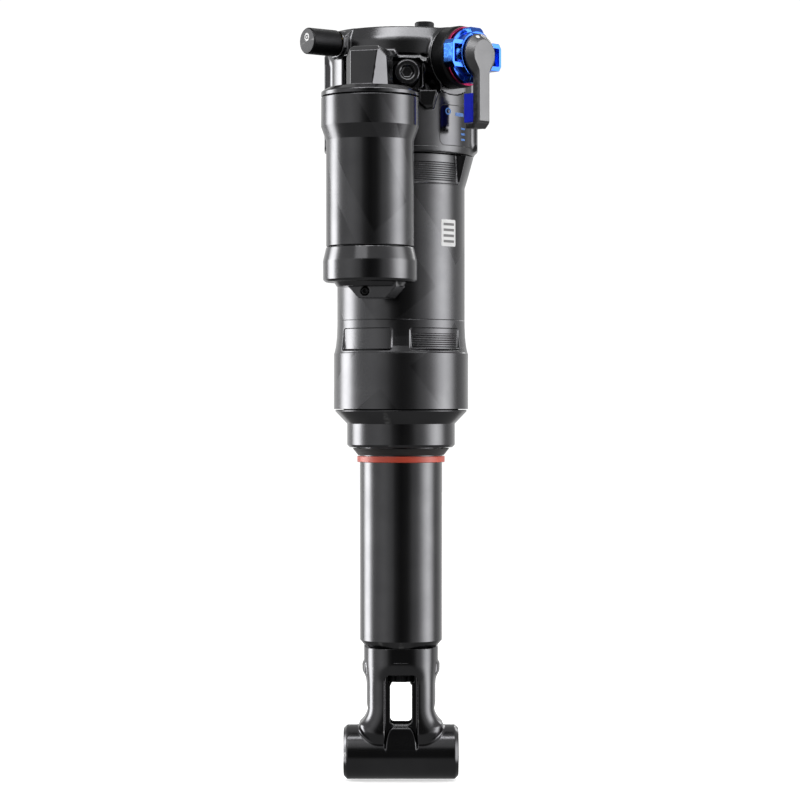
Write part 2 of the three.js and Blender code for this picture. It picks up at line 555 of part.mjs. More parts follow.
// The lower eyelet: neck, slotted column and barrel in one casting.
function makeEyelet() {
  const ballZ = -218.6;
  const profile = [
    [0, -194.3], [ROD_R + GAP, -194.3], [ROD_R + GAP, -185.7], [10.7, -185.7],
    [10.7, STRUT_BOTTOM - GAP], [NECK_R, STRUT_BOTTOM - GAP], [NECK_R, -200.9],
    [COLUMN_R, -203.4], [COLUMN_R, ballZ],
  ];
  const steps = 5;
  for (let i = 1; i < steps; i += 1) {
    const angle = (Math.PI / 2) * (i / steps);
    profile.push([COLUMN_R * Math.cos(angle), ballZ - COLUMN_R * Math.sin(angle)]);
  }
  profile.push([0, ballZ - COLUMN_R]);
  let body = solid(turned(profile)).add(solid(prism(cutCorners(COLUMN_R, 10.6, 3.6), -219, -203.4)));

  // Tabs on both sides of the neck.
  const tabs = solid(turned([
    [11, -197.7], [13.4, -197.7], [13.75, -198.1], [13.75, -200.9], [COLUMN_R, -203.4],
    [11, -203.4],
  ]));
  for (const turn of [90, 270]) {
    body = body.add(tabs.intersect(solid(sector(5, 20, turn - 22, turn + 22, -205, -196))));
  }

  // The barrel, and the webs that sweep out to it from the column.
  const chamfer = 1.3;
  const barrel = turned([
    [0, -EYE_HALF], [EYE_R - chamfer, -EYE_HALF], [EYE_R, chamfer - EYE_HALF], [EYE_R, -10],
    [EYE_R + 0.25, 0], [EYE_R, 10], [EYE_R, EYE_HALF - chamfer], [EYE_R - chamfer, EYE_HALF],
    [0, EYE_HALF],
  ]);
  const sweep = [];
  for (let i = 0; i <= 6; i += 1) {
    const angle = (Math.PI / 2) * (i / 6);
    sweep.push([COLUMN_R + 6.2 * (1 - Math.cos(angle)), -213.8 - 7.2 * Math.sin(angle)]);
  }
  const webOutline = [...sweep, [18, -228], [0, -228], [0, -213.8]];
  for (const sign of [-1, 1]) {
    const outline = webOutline.map(([x, z]) => [sign * x, z]);
    body = body.add(solid(prism(outline, -6.5, 6.5).applyMatrix4(upright)));
  }
  body = body.add(solid(barrel.applyMatrix4(eyeFrame)));

  // The window right through the column, its recesses, and the slot of the rebound wheel.
  for (const sign of [-1, 1]) {
    const recess = across([
      [sign * RECESS_FLOOR, RECESS_TOP], [sign * RECESS_FLOOR, TONGUE_TOP],
      [sign * (TONGUE_FACE - 1), TONGUE_TOP], [sign * TONGUE_FACE, TONGUE_TOP - 1],
      [sign * TONGUE_FACE, -229], [sign * 16, -229], [sign * 16, RECESS_TOP],
    ], RECESS_HALF);
    body = body.subtract(solid(recess));
  }
  body = body.subtract(solid(across([
    [-20, WINDOW_BOTTOM], [20, WINDOW_BOTTOM], [20, WINDOW_TOP], [-20, WINDOW_TOP],
  ], WINDOW_HALF)));
  body = body.subtract(solid(rod(7.5, WINDOW_TOP, RECESS_TOP, 32)));
  body = body.subtract(solid(rod(2.1, -203, -193, 16)));

  // The bore for the pin and the seats for both bearings.
  body = body.subtract(solid(rod(5.6, -30, 30, HIDDEN_ROUND).applyMatrix4(eyeFrame)));
  for (const sign of [-1, 1]) {
    const seat = ring(4, 7.2, 13.5, 30, 32).applyMatrix4(alongX);
    body = body.subtract(solid((sign > 0 ? seat : seat.rotateZ(Math.PI)).translate(0, 0, EYE_Z)));
  }
  return body;
}

function addEyelet() {
  add(shock, 'lower_eyelet', makeEyelet(), blackAnodised);
  add(shock, 'rebound_wheel', rod(7, -204.6, -202, HIDDEN_ROUND), blackMatte);
  add(shock, 'rebound_rod', rod(1.7, -201.7, -93, 14), steel);
  const group = groupIn(eyeFrame);
  for (const [side, sign] of [['left', -1], ['right', 1]]) {
    const [near, far] = [sign * 13.8, sign * 19.4].sort((p, q) => p - q);
    add(group, `bearing_outer_${side}`, ring(5.9, 6.9, near, far, HIDDEN_ROUND), steel);
    add(group, `bearing_inner_${side}`, ring(4, 4.8, near, far, HIDDEN_ROUND), steel);
    const [inside, outside] = [sign * 19.7, sign * 20.2].sort((p, q) => p - q);
    add(group, `bearing_seal_${side}`, ring(5.1, 6.9, inside, outside, HIDDEN_ROUND), blackRubber);
  }
  add(group, 'axle_sleeve', ring(4, 5.2, -13.5, 13.5, HIDDEN_ROUND), bareAluminium);
}

addCanAndSeals();
addDamperTube();
addReservoir();
addCompressionAdjuster();
addAirValve();
addBottomOutAdjuster();
addStrut();
addDamperRod();
addEyelet();

export default shock;
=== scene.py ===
"""Rear shock: fine surfaces, finishes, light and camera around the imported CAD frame.

Shapes are worked out in millimetres in the frame's own axes and written to Blender in metres.
Turned pieces take their profile from the CAD node that they stand for; forged and milled pieces are
distance fields, skinned on a fine grid.
"""
import json
import math

import bpy
import numpy as np
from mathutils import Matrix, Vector


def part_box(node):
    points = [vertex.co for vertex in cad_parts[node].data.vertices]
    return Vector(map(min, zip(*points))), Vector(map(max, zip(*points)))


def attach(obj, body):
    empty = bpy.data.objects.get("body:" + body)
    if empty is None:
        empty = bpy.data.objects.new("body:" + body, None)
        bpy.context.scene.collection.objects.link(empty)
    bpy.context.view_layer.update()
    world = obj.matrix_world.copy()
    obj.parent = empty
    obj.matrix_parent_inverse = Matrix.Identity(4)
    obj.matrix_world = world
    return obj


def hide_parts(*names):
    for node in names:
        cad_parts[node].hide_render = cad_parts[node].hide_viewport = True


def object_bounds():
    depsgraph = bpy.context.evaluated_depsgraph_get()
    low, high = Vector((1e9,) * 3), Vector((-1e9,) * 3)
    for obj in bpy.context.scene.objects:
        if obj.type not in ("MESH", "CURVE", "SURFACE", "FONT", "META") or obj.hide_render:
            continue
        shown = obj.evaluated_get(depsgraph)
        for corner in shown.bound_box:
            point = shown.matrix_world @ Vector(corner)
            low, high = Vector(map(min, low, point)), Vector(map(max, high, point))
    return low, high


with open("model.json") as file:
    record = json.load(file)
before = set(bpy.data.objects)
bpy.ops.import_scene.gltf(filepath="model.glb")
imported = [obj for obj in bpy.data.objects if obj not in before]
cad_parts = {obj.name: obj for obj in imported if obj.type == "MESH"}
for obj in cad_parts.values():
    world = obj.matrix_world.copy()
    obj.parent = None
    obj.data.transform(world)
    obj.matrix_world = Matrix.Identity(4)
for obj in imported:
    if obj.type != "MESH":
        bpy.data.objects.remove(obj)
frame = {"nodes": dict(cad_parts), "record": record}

MM = 0.001
CAD_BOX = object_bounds()
RECORD = frame["record"]
BODY_OF = {node: body for body, nodes in RECORD["behaviour"]["bodies"].items() for node in nodes}
SLOT_OF = {part["node"]: part["material_slot"] for part in RECORD["subparts"]}
JOINTS = {joint["name"]: joint for joint in RECORD["behaviour"]["joints"]}


# ---- Places ----

def place(side, up, out, origin=(0, 0, 0)):
    """A local frame as a 4 by 4 matrix: its x, y and z axes and its origin, in millimetres."""
    matrix = np.eye(4)
    matrix[:3, 0], matrix[:3, 1], matrix[:3, 2], matrix[:3, 3] = side, up, out, origin
    return matrix


def joint_place(name):
    """The frame of a piece on a radial joint: z outwards along its axis, y up, from the main axis."""
    out = np.array(JOINTS[name]["axis"])
    height = JOINTS[name]["pos_m"][2] / MM if "pos_m" in JOINTS[name] else 0
    up = np.array((0.0, 0.0, 1.0))
    return place(np.cross(up, out), up, out, (0, 0, height))


def centre(node):
    low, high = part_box(node)
    return (np.array(low) + np.array(high)) / 2 / MM


MAIN = place((1, 0, 0), (0, 1, 0), (0, 0, 1))
EYE_Z = JOINTS["eyelet_bearing"]["pos_m"][2] / MM
EYE = place((0, 1, 0), (0, 0, 1), (1, 0, 0), (0, 0, EYE_Z))
COMPRESSION = joint_place("compression_dial_turn")
BOTTOM_OUT = joint_place("bottom_out_turn")
VALVE = joint_place("dust_cap_unscrew")
VALVE[2, 3] = centre("valve_pin")[2]
RES_X, RES_Y, _ = centre("reservoir_body")
RES_OUT = math.hypot(RES_X, RES_Y)
ARM_OUT = np.array((RES_X, RES_Y, 0)) / RES_OUT
RESERVOIR = place(np.cross((0, 0, 1), ARM_OUT), -ARM_OUT, (0, 0, 1), (RES_X, RES_Y, 0))
ARM = place(np.cross((0, 0, 1), ARM_OUT), (0, 0, 1), ARM_OUT)
BLEED = place((1, 0, 0), (0, 1, 0), (0, 0, 1), (*centre("bleed_screw")[:2], 0))


# ---- Sizes in millimetres ----

HEAD_R = 26.4
HEAD_UNDER, HEAD_BRIM, HEAD_TOP = -18, 21.3, 25.6
PAD_FACE = 27
CUT_R, CUT_LEFT, CUT_RIGHT = 19.5, math.radians(-51), math.radians(32)
COMPRESSION_FACE, VALVE_FACE = 25.5, 28.7
ARM_FACE = 48.5
CAP_UNDER = -0.7
RESERVOIR_CLEAR_R = 17.55
SPIGOT_R, SPIGOT_GROOVE_R = 13.3, 11.6
END_CAP_R = 16.1
DIAL_BASE, DIAL_TOP, LEVER_TOP = 33, 37.8, 41
CAN_R = 22.7
CAN_FOOT, CAN_TOP = -107.7, -18.3
CAN_FLARE = ((CAN_FOOT, 23.9), (-88.1, 23.9), (-87.6, 23.7), (-85.6, 23.25), (-82.2, 22.85), (-78, CAN_R),
             (-29.2, CAN_R), (-25.2, 23.9), (-19.7, 25.4), (CAN_TOP, 25.8))
POCKET_FROM, POCKET_TO, POCKET_R = 7.5, 63, 23.2
RIB_PITCH, RIB_DEPTH = 0.77, 0.28
NUT_Z = -90.65
NECK_TOP, SWEEP_Z = -192.35, -213.4
WINDOW_HALF = 3.85
MARK_PROUD, PATCH_DEPTH, RING_DEPTH = 0.03, 0.12, 0.1


# ---- Studio, in metres ----

FLOOR_HALF = 3.0
CAMERA_AT = (-0.00036, -0.964, -0.1045)
LAMPS = (  # name, place, width, height, power, and the point it faces
    ("soft_box", (0.015, -0.16, 0.155), 0.35, 0.06, 0.42, (0, -0.02, 0.02)),
    ("fill_front", (-0.5, -1.2, 0.9), 0.8, 0.8, 3.0, (0, 0, -0.1)),
    ("fill_back", (0.6, 1.2, 0.6), 0.8, 0.8, 6.0, (0, 0, -0.1)))
PANELS = (  # the studio's brightness by the angle round the object, from the front towards +x
    (-180, 0.5), (-160, 1.0), (-140, 1.0), (-128, 0.8), (-122, 6), (-114, 11), (-100, 12), (-96, 5), (-91, 2),
    (-84, 0.7), (-70, 0.72), (-51, 0.86), (-42, 0.78), (-33, 0.6), (-25, 0.5), (-17, 0.16), (-8, 0.08),
    (0, 0.04), (8, 0.07), (17, 0.08), (25, 0.2), (33, 0.5), (42, 0.62), (51, 1), (60, 2.3), (70, 4.6),
    (81, 6.2), (92, 4.7), (105, 1.1), (112, 0.6), (150, 0.9), (180, 0.5))
BRIGHTEST_PANEL = 12
GLOW_ABOVE, GLOW_BELOW, BACKDROP = 0.6, 0.25, 1.05


# ---- Meshes ----

def make_piece(name, points, faces, normals=None):
    """A mesh object from points in millimetres, smooth shaded with the given vertex normals."""
    mesh = bpy.data.meshes.new(name)
    mesh.from_pydata((np.asarray(points) * MM).tolist(), [], [list(map(int, f)) for f in faces])
    mesh.validate()
    mesh.update()
    mesh.polygons.foreach_set("use_smooth", [True] * len(mesh.polygons))
    if normals is not None and len(mesh.vertices) == len(normals):
        mesh.normals_split_custom_set_from_vertices(np.asarray(normals).tolist())
    piece = bpy.data.objects.new(name, mesh)
    bpy.context.scene.collection.objects.link(piece)
    return piece


def stand_for(piece, *nodes):
    """The piece replaces these nodes and rides on the body of the first."""
    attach(piece, BODY_OF[nodes[0]])
    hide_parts(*nodes)
    piece.data.materials.append(MATERIALS[SLOT_OF[nodes[0]]])
    return piece


def add_detail(piece, body, slot, material=None):
    """An extra piece that stands for no node."""
    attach(piece, body)
    piece.data.materials.append(material or MATERIALS[slot])
    return piece


def profile_of(node, at):
    """The profile of a turned CAD node as [radius, height] points, and whether it closes on itself."""
    mesh = frame["nodes"][node].data
    points = np.array([v.co[:] for v in mesh.vertices]) / MM
    local = (points - at[:3, 3]) @ at[:3, :3]
    keys = np.round(local, 3)
    on_line = (np.abs(keys[:, 0]) < 0.004) & (keys[:, 1] < 0.004)
    links = {}
    for polygon in mesh.polygons:
        corners = list(polygon.vertices)
        for a, b in zip(corners, corners[1:] + corners[:1]):
            if on_line[a] and on_line[b]:
                p, q = (tuple(np.round((-keys[i, 1], keys[i, 2]), 2) + 0.0) for i in (a, b))
                if p != q:
                    links.setdefault(p, set()).add(q)
                    links.setdefault(q, set()).add(p)
    ends = sorted(p for p in links if len(links[p]) == 1)
    path = [ends[0] if ends else min(links)]
    while True:
        following = sorted(q for q in links[path[-1]] if q not in path)
        if not following:
            break
        path.append(following[0])
    return np.array(path), not ends


def rounded(points, closed, fillet, steps):
    """The profile with each corner replaced by an arc, as large as its neighbours leave room for."""
    count = len(points)
    result = []
    for i, here in enumerate(points):
        if not closed and i in (0, count - 1):
            result.append(here)
            continue
        before, after = points[i - 1], points[(i + 1) % count]
        u, v = before - here, after - here
        lu, lv = np.linalg.norm(u), np.linalg.norm(v)
        if lu < 1e-6 or lv < 1e-6:
            continue
        u, v = u / lu, v / lv
        half = math.acos(float(np.clip(u @ v, -1, 1))) / 2
        if half > math.radians(88):
            result.append(here)
            continue
        reach = min(fillet / math.tan(half), 0.45 * lu, 0.45 * lv)
        arc = reach * math.tan(half)
        middle = here + (u + v) / np.linalg.norm(u + v) * (arc / math.sin(half))
        start, end = here + u * reach - middle, here + v * reach - middle
        sweep = math.pi - 2 * half
        for k in range(steps + 1):
            t = k / steps
            a, b = math.sin((1 - t) * sweep), math.sin(t * sweep)
            result.append(middle + (a * start + b * end) / math.sin(sweep))
    return np.array(result)


def turned_normals(radii, heights, across, along, closed, sense):
    """The mean normal of each vertex's neighbours on the profile, weighted by their length."""
    run, rise = np.roll(radii, -1, axis=0) - radii, np.roll(heights, -1, axis=0) - heights
    if not closed:
        run[-1], rise[-1] = 0, 0
    out, up = sense * (rise + np.roll(rise, 1, axis=0)), sense * (-run - np.roll(run, 1, axis=0))
    slope = (np.roll(radii, -1, axis=1) - np.roll(radii, 1, axis=1)) * radii.shape[1] / (4 * math.pi)
    around = -out * slope / np.maximum(radii, 1e-3)
    normal = np.stack((out * across + around * -along, out * along + around * across, up), axis=-1)
    return normal / np.maximum(np.linalg.norm(normal, axis=-1, keepdims=True), 1e-9)


def turn(name, points, closed, at=MAIN, segments=128, shape=None):
    """Turns a profile of [radius, height] points about the local z. shape moves the radii."""
    points = np.asarray(points, float)
    theta = 2 * math.pi * np.arange(segments) / segments
    radii = np.repeat(points[:, :1], segments, axis=1)
    heights = np.repeat(points[:, 1:], segments, axis=1)
    if shape:
        radii = shape(radii, heights, theta[None, :])
    across, along = np.sin(theta)[None, :], -np.cos(theta)[None, :]
    local = np.stack((radii * across, radii * along, heights), axis=-1)
    area = np.sum(points[:, 0] * np.roll(points[:, 1], -1) - np.roll(points[:, 0], -1) * points[:, 1])
    sense = -1 if area < 0 else 1
    normal = turned_normals(radii, heights, across, along, closed, sense)
    rows, vertices, normals, lengths = [], [], [], []
    for i, (r, z) in enumerate(points):
        if r < 1e-4:
            rows.append([len(vertices)] * segments)
            vertices.append(local[i, 0])
            normals.append((0, 0, math.copysign(1, normal[i, 0, 2])))
            lengths.append(z)
            continue
        rows.append(list(range(len(vertices), len(vertices) + segments)))
        vertices.extend(local[i])
        normals.extend(normal[i])
        lengths.extend([z + r] * segments)
    faces = []
    for i in range(len(points) if closed else len(points) - 1):
        lower, upper = rows[i], rows[(i + 1) % len(points)]
        for j in range(segments):
            k = (j + 1) % segments
            quad = [lower[j], lower[k], upper[k], upper[j]]
            face = [v for n, v in enumerate(quad) if v not in quad[:n]]
            if len(face) > 2:
                faces.append(face if sense > 0 else face[::-1])
    world = np.array(vertices) @ at[:3, :3].T + at[:3, 3]
    piece = make_piece(name, world, faces, np.array(normals) @ at[:3, :3].T)
    piece.data.attributes.new("along", "FLOAT", "POINT").data.foreach_set("value", lengths)
    return piece


def refine(node, at=MAIN, fillet=0.3, segments=96, shape=None, steps=5):
    """Stands for a turned CAD node with the same profile, finely turned and with eased edges."""
    points, closed = profile_of(node, at)
    fine = rounded(points, closed, fillet, steps)
    return stand_for(turn(node + "_fine", fine, closed, at, segments, shape), node)


def refine_o_ring(node, at=MAIN):
    """Stands for an O-ring with a round section."""
    low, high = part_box(node)
    thickness = (high[2] - low[2]) / MM / 0.951
    outer = (high[0] - low[0]) / 2 / MM
    angle = 2 * math.pi * np.arange(16) / 16
    middle = (outer - thickness / 2, (high[2] + low[2]) / 2 / MM)
    points = np.stack((middle[0] + thickness / 2 * np.cos(angle),
                       middle[1] + thickness / 2 * np.sin(angle)), axis=1)
    flat = at.copy()
    flat[2, 3] = 0
    return stand_for(turn(node + "_fine", points, True, flat, 96), node)


# ---- Distance fields ----

CORNERS = [(a, b, c) for a in (0, 1) for b in (0, 1) for c in (0, 1)]


def joined(a, b, blend):
    h = np.clip(0.5 + 0.5 * (b - a) / blend, 0, 1)
    return b * (1 - h) + a * h - blend * h * (1 - h)


def met(a, b, blend):
    return -joined(-a, -b, blend)


def cut(a, b, blend):
    return -joined(-a, b, blend)


def worked(body, steps):
    """The body after each step, which is a way to change it, a shape and a blend."""
    for change, shape, blend in steps:
        body = change(body, shape, blend)
    return body


def seen_from(at, x, y, z):
    """World coordinates in the local frame."""
    dx, dy, dz = x - at[0, 3], y - at[1, 3], z - at[2, 3]
    return tuple(dx * at[0, i] + dy * at[1, i] + dz * at[2, i] for i in range(3))


def bar(r, h, outer, low, high, edge):
    """A round bar with eased rims, from the distance to its axis and the height along it."""
    return met(r - outer, np.abs(h - (low + high) / 2) - (high - low) / 2, edge)


def convex(u, v, outline, edge):
    """A convex outline, given anticlockwise, with eased corners."""
    result = None
    for (ua, va), (ub, vb) in zip(outline, outline[1:] + outline[:1]):
        length = math.hypot(ub - ua, vb - va)
        side = ((u - ua) * (vb - va) - (v - va) * (ub - ua)) / length
        result = side if result is None else met(result, side, edge)
    return result


def eased(a, b, radius):
    """What is inside both fields, with a round edge of the given radius."""
    da, db = a + radius, b + radius
    return np.minimum(np.maximum(da, db), 0) + np.hypot(np.maximum(da, 0), np.maximum(db, 0)) - radius


def rounded_box(u, v, half_u, half_v, corner):
    return eased(np.abs(u) - half_u, np.abs(v) - half_v, corner)


def crossed_cells(inside):
    """The grid cells that the surface passes through, and each cell's place in that list or -1."""
    nx, ny, nz = (n - 1 for n in inside.shape)
    filled = sum(inside[a:nx + a, b:ny + b, c:nz + c].astype(int) for a, b, c in CORNERS)
    active = (filled > 0) & (filled < 8)
    cells = np.argwhere(active)
    number = np.full(active.shape, -1)
    number[active] = np.arange(len(cells))
    return cells, number


def cell_points(values, cells):
    """For each cell, the mean of the points where the surface crosses its edges."""
    total, hits = np.zeros((len(cells), 3)), np.zeros(len(cells))
    for corner in CORNERS:
        for axis in range(3):
            if corner[axis]:
                continue
            other = list(corner)
            other[axis] = 1
            here = values[tuple((cells + corner).T)]
            there = values[tuple((cells + other).T)]
            crossed = (here < 0) != (there < 0)
            share = np.where(crossed, here / np.where(crossed, here - there, 1), 0)
            point = np.array(corner, float)[None, :] + share[:, None] * np.eye(3)[axis]
            total += point * crossed[:, None]
            hits += crossed
    return total / hits[:, None]


def cell_faces(inside, number):
    """A quad round each grid edge that the surface crosses, between the points of its four cells."""
    count = inside.shape
    faces = []
    for axis in range(3):
        u, v = [i for i in range(3) if i != axis]
        first, second = [slice(None)] * 3, [slice(None)] * 3
        first[axis], second[axis] = slice(None, -1), slice(1, None)
        start = inside[tuple(first)]
        edges = np.argwhere(start != inside[tuple(second)])
        edges = edges[(edges[:, u] > 0) & (edges[:, v] > 0)
                      & (edges[:, u] < count[u] - 1) & (edges[:, v] < count[v] - 1)]
        du, dv = np.eye(3, dtype=int)[u], np.eye(3, dtype=int)[v]
        quads = np.stack([number[tuple((edges - shift).T)] for shift in (0 * du, du, du + dv, dv)], axis=1)
        flip = start[tuple(edges.T)] != (axis != 1)
        quads[flip] = quads[flip][:, ::-1]
        faces.append(quads[(quads >= 0).all(axis=1)])
    return np.concatenate(faces)


def skin(name, field, low, high, step):
    """The zero surface of a field in world millimetres, as an even mesh drawn onto the surface."""
    low, high = np.array(low, float), np.array(high, float)
    count = np.ceil((high - low) / step).astype(int) + 1
    axes = [low[i] + step * np.arange(count[i]) for i in range(3)]
    yy, zz = np.meshgrid(axes[1], axes[2], indexing="ij")
    values = np.empty(count)
    for i, x in enumerate(axes[0]):
        values[i] = field(np.full_like(yy, x), yy, zz)
    cells, number = crossed_cells(values < 0)
    points = low + step * (cells + cell_points(values, cells))
    for _ in range(4):
        value, slope = field_and_slope(field, points)
        move = slope * (value / np.maximum((slope ** 2).sum(axis=1), 0.05))[:, None]
        length = np.linalg.norm(move, axis=1, keepdims=True)
        points -= move * np.minimum(1, 0.5 * step / np.maximum(length, 1e-9))
    normals = field_and_slope(field, points)[1]
    normals /= np.maximum(np.linalg.norm(normals, axis=1, keepdims=True), 1e-9)
    return make_piece(name, points, cell_faces(values < 0, number), normals)


def field_and_slope(field, points, reach=0.02):
    x, y, z = points.T
    value = field(x, y, z)
    slope = np.stack([
        field(x + reach, y, z) - field(x - reach, y, z),
        field(x, y + reach, z) - field(x, y - reach, z),
        field(x, y, z + reach) - field(x, y, z - reach)], axis=1) / (2 * reach)
    return value, slope


def stand_skin(node, field, step, margin=1.2):
    """Stands for a forged or milled CAD node with the skin of a field."""
    low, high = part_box(node)
    low, high = np.array(low) / MM - margin, np.array(high) / MM + margin
    return stand_for(skin(node + "_fine", field, low, high, step), node)


# ---- Finishes ----

def add_node(tree, kind, inputs=None, **settings):
    made = tree.nodes.new(kind)
    for key, value in settings.items():
        setattr(made, key, value)
    for key, value in (inputs or {}).items():
        if isinstance(value, bpy.types.NodeSocket):
            tree.links.new(value, made.inputs[key])
        else:
            made.inputs[key].default_value = value
    return made


def maths(tree, operation, *values):
    return add_node(tree, "ShaderNodeMath", dict(enumerate(values)), operation=operation).outputs[0]


def span(tree, value, low, high, out_low, out_high):
    """The value mapped from one range to another, smoothly and without passing its ends."""
    inputs = {"Value": value, "From Min": low, "From Max": high, "To Min": out_low, "To Max": out_high}
    return add_node(tree, "ShaderNodeMapRange", inputs, interpolation_type="SMOOTHSTEP").outputs["Result"]


def noise(tree, place, scale, detail=3.0, stretch=None):
    if stretch:
        place = add_node(tree, "ShaderNodeMapping", {"Vector": place, "Scale": stretch}).outputs[0]
    inputs = {"Vector": place, "Scale": scale, "Detail": detail, "Roughness": 0.55}
    return add_node(tree, "ShaderNodeTexNoise", inputs).outputs["Fac"]


def mixed(tree, share, first, second):
    """A colour between the first, which may be a socket, and the second."""
    start = first if isinstance(first, bpy.types.NodeSocket) else (*first, 1)
    inputs = {"Factor": share, 6: start, 7: (*second, 1)}
    return add_node(tree, "ShaderNodeMix", inputs, data_type="RGBA").outputs[2]


def bands(tree, place, axis_x, axis_y, families):
    """Broad slanting bands round a tube: 1 inside a band and 0 outside."""
    split = add_node(tree, "ShaderNodeSeparateXYZ", {0: place})
    x = maths(tree, "SUBTRACT", split.outputs[0], axis_x)
    y = maths(tree, "SUBTRACT", axis_y, split.outputs[1])
    around = maths(tree, "ARCTAN2", x, y)
    total = None
    for slant, pitch, width, shift in families:
        lean = maths(tree, "MULTIPLY_ADD", around, slant, split.outputs[2])
        wave = maths(tree, "FRACT", maths(tree, "MULTIPLY_ADD", lean, 1 / pitch, shift))
        off = maths(tree, "ABSOLUTE", maths(tree, "SUBTRACT", wave, 0.5))
        inside = maths(tree, "LESS_THAN", off, width / 2)
        total = inside if total is None else maths(tree, "MAXIMUM", total, inside)
    return total


def finish(name, tone, deep, metallic, gloss, grain=0.02, grain_size=5000, worn=None, lines=0.0,
           marks=None, sheen=0.0):
    """A surface: two close tones, gloss that varies, fine grain, turning lines and paler edges.

    gloss is a pair of roughness values. marks takes the tree and the place, and gives the share of
    the surface that is matt print.
    """
    material = bpy.data.materials.new(name)
    material.use_nodes = True
    tree = material.node_tree
    shader = tree.nodes["Principled BSDF"]
    coordinates = add_node(tree, "ShaderNodeTexCoord")
    position = coordinates.outputs["Object"]
    cloud = noise(tree, position, 90, 4)
    smudge = noise(tree, position, 28, 3, (1, 1, 0.35))
    speck = noise(tree, position, grain_size, 2)
    colour = mixed(tree, span(tree, cloud, 0.3, 0.7, 0, 1), tone, deep)
    rough = span(tree, smudge, 0.3, 0.7, gloss[0], gloss[1])
    if marks:
        print_share = marks(tree, position)
        rough = maths(tree, "MULTIPLY_ADD", print_share, 0.07, rough)
        colour = mixed(tree, maths(tree, "MULTIPLY", print_share, 0.1), colour, PRINT_TONE)
    if worn:
        geometry = add_node(tree, "ShaderNodeNewGeometry")
        edge = span(tree, geometry.outputs["Pointiness"], 0.53, 0.62, 0, 1)
        chips = span(tree, noise(tree, position, 700, 4), 0.42, 0.62, 0.15, 0.8)
        colour = mixed(tree, maths(tree, "MULTIPLY", edge, chips), colour, worn)
    rough = maths(tree, "MULTIPLY_ADD", maths(tree, "SUBTRACT", speck, 0.5), 0.06, rough)
    height = speck
    if lines:
        turned = add_node(tree, "ShaderNodeAttribute", attribute_name="along").outputs["Fac"]
        groove = noise(tree, add_node(tree, "ShaderNodeCombineXYZ", {2: turned}).outputs[0], 6.0, 5)
        height = maths(tree, "MULTIPLY_ADD", groove, lines, height)
    bump = add_node(tree, "ShaderNodeBump", {"Height": height, "Strength": grain, "Distance": 0.0001})
    for socket, value in (("Base Color", colour), ("Roughness", rough), ("Normal", bump.outputs[0])):
        tree.links.new(value, shader.inputs[socket])
    shader.inputs["Metallic"].default_value = metallic
    shader.inputs["Sheen Weight"].default_value = sheen
    return material


PRINT_TONE = (0.19, 0.19, 0.2)
BLACK = (0.082, 0.082, 0.085)
BLACK_DEEP = (0.07, 0.07, 0.073)
WORN_BLACK = (0.2, 0.2, 0.2)
POLISHED = (BLACK, BLACK_DEEP, 1.0, (0.17, 0.24), 0.05, 5000, WORN_BLACK, 0.5)
MATERIALS = {row[0]: finish(*row) for row in (
    ("black_anodised", *POLISHED),
    ("black_matte", (0.024, 0.024, 0.025), (0.018, 0.018, 0.019), 1.0, (0.44, 0.52), 0.12, 5000,
     (0.08, 0.08, 0.08)),
    ("grey_anodised", (0.135, 0.135, 0.138), (0.12, 0.12, 0.123), 1.0, (0.4, 0.48), 0.1, 5000,
     (0.24, 0.24, 0.24)),
    ("blue_anodised", (0.04, 0.14, 0.62), (0.032, 0.11, 0.5), 1.0, (0.16, 0.22), 0.04, 5000,
     (0.1, 0.35, 0.95)),
    ("red_anodised", (0.32, 0.02, 0.07), (0.24, 0.015, 0.05), 1.0, (0.25, 0.33), 0.06),
    ("steel", (0.42, 0.43, 0.45), (0.35, 0.36, 0.38), 1.0, (0.18, 0.28), 0.08, 5000, None, 0.8),
    ("bare_aluminium", (0.62, 0.62, 0.64), (0.52, 0.52, 0.54), 1.0, (0.25, 0.35), 0.08, 5000, None, 0.8),
    ("brass", (0.62, 0.42, 0.13), (0.5, 0.32, 0.09), 1.0, (0.22, 0.34), 0.08, 5000, None, 0.6),
    ("black_rubber", (0.014, 0.014, 0.014), (0.009, 0.009, 0.009), 0.0, (0.5, 0.62), 0.3, 2600, None, 0.0,
     None, 0.15),
    ("red_rubber", (0.55, 0.065, 0.03), (0.46, 0.05, 0.024), 0.0, (0.36, 0.46), 0.15, 2600, None, 0.0,
     None, 0.1),
    ("bearing_polymer", (0.12, 0.08, 0.035), (0.09, 0.06, 0.028), 0.0, (0.5, 0.6), 0.2, 2600))}


def can_bands(tree, position):
    return bands(tree, position, 0, 0, ((0.03, 0.062, 0.34, 0.1), (-0.018, 0.1, 0.2, 0.35)))


def reservoir_bands(tree, position):
    reach = ((0.028, 0.05, 0.3, 0.55), (-0.012, 0.08, 0.18, 0.2))
    return bands(tree, position, RES_X * MM, RES_Y * MM, reach)


CAN_FINISH = finish("black_anodised_can", *POLISHED, can_bands)
RESERVOIR_FINISH = finish("black_anodised_reservoir", *POLISHED, reservoir_bands)
PRINT_WHITE = finish("print_white", (0.62, 0.62, 0.62), (0.54, 0.54, 0.54), 0.0, (0.4, 0.5), 0.1)
INSERT_BLUE = finish("blue_insert", (0.03, 0.05, 0.85), (0.025, 0.04, 0.75), 0.3, (0.25, 0.33), 0.04)
PRINT_GREY = finish("print_grey", (0.1, 0.1, 0.1), (0.08, 0.08, 0.08), 0.0, (0.4, 0.5), 0.1)
PRINT_BLUE = finish("print_blue", (0.03, 0.16, 0.5), (0.025, 0.13, 0.42), 0.0, (0.35, 0.45), 0.1)
PANEL = finish("panel", (0.075, 0.075, 0.078), (0.066, 0.066, 0.07), 1.0, (0.1, 0.15), 0.03)


# ---- Head ----

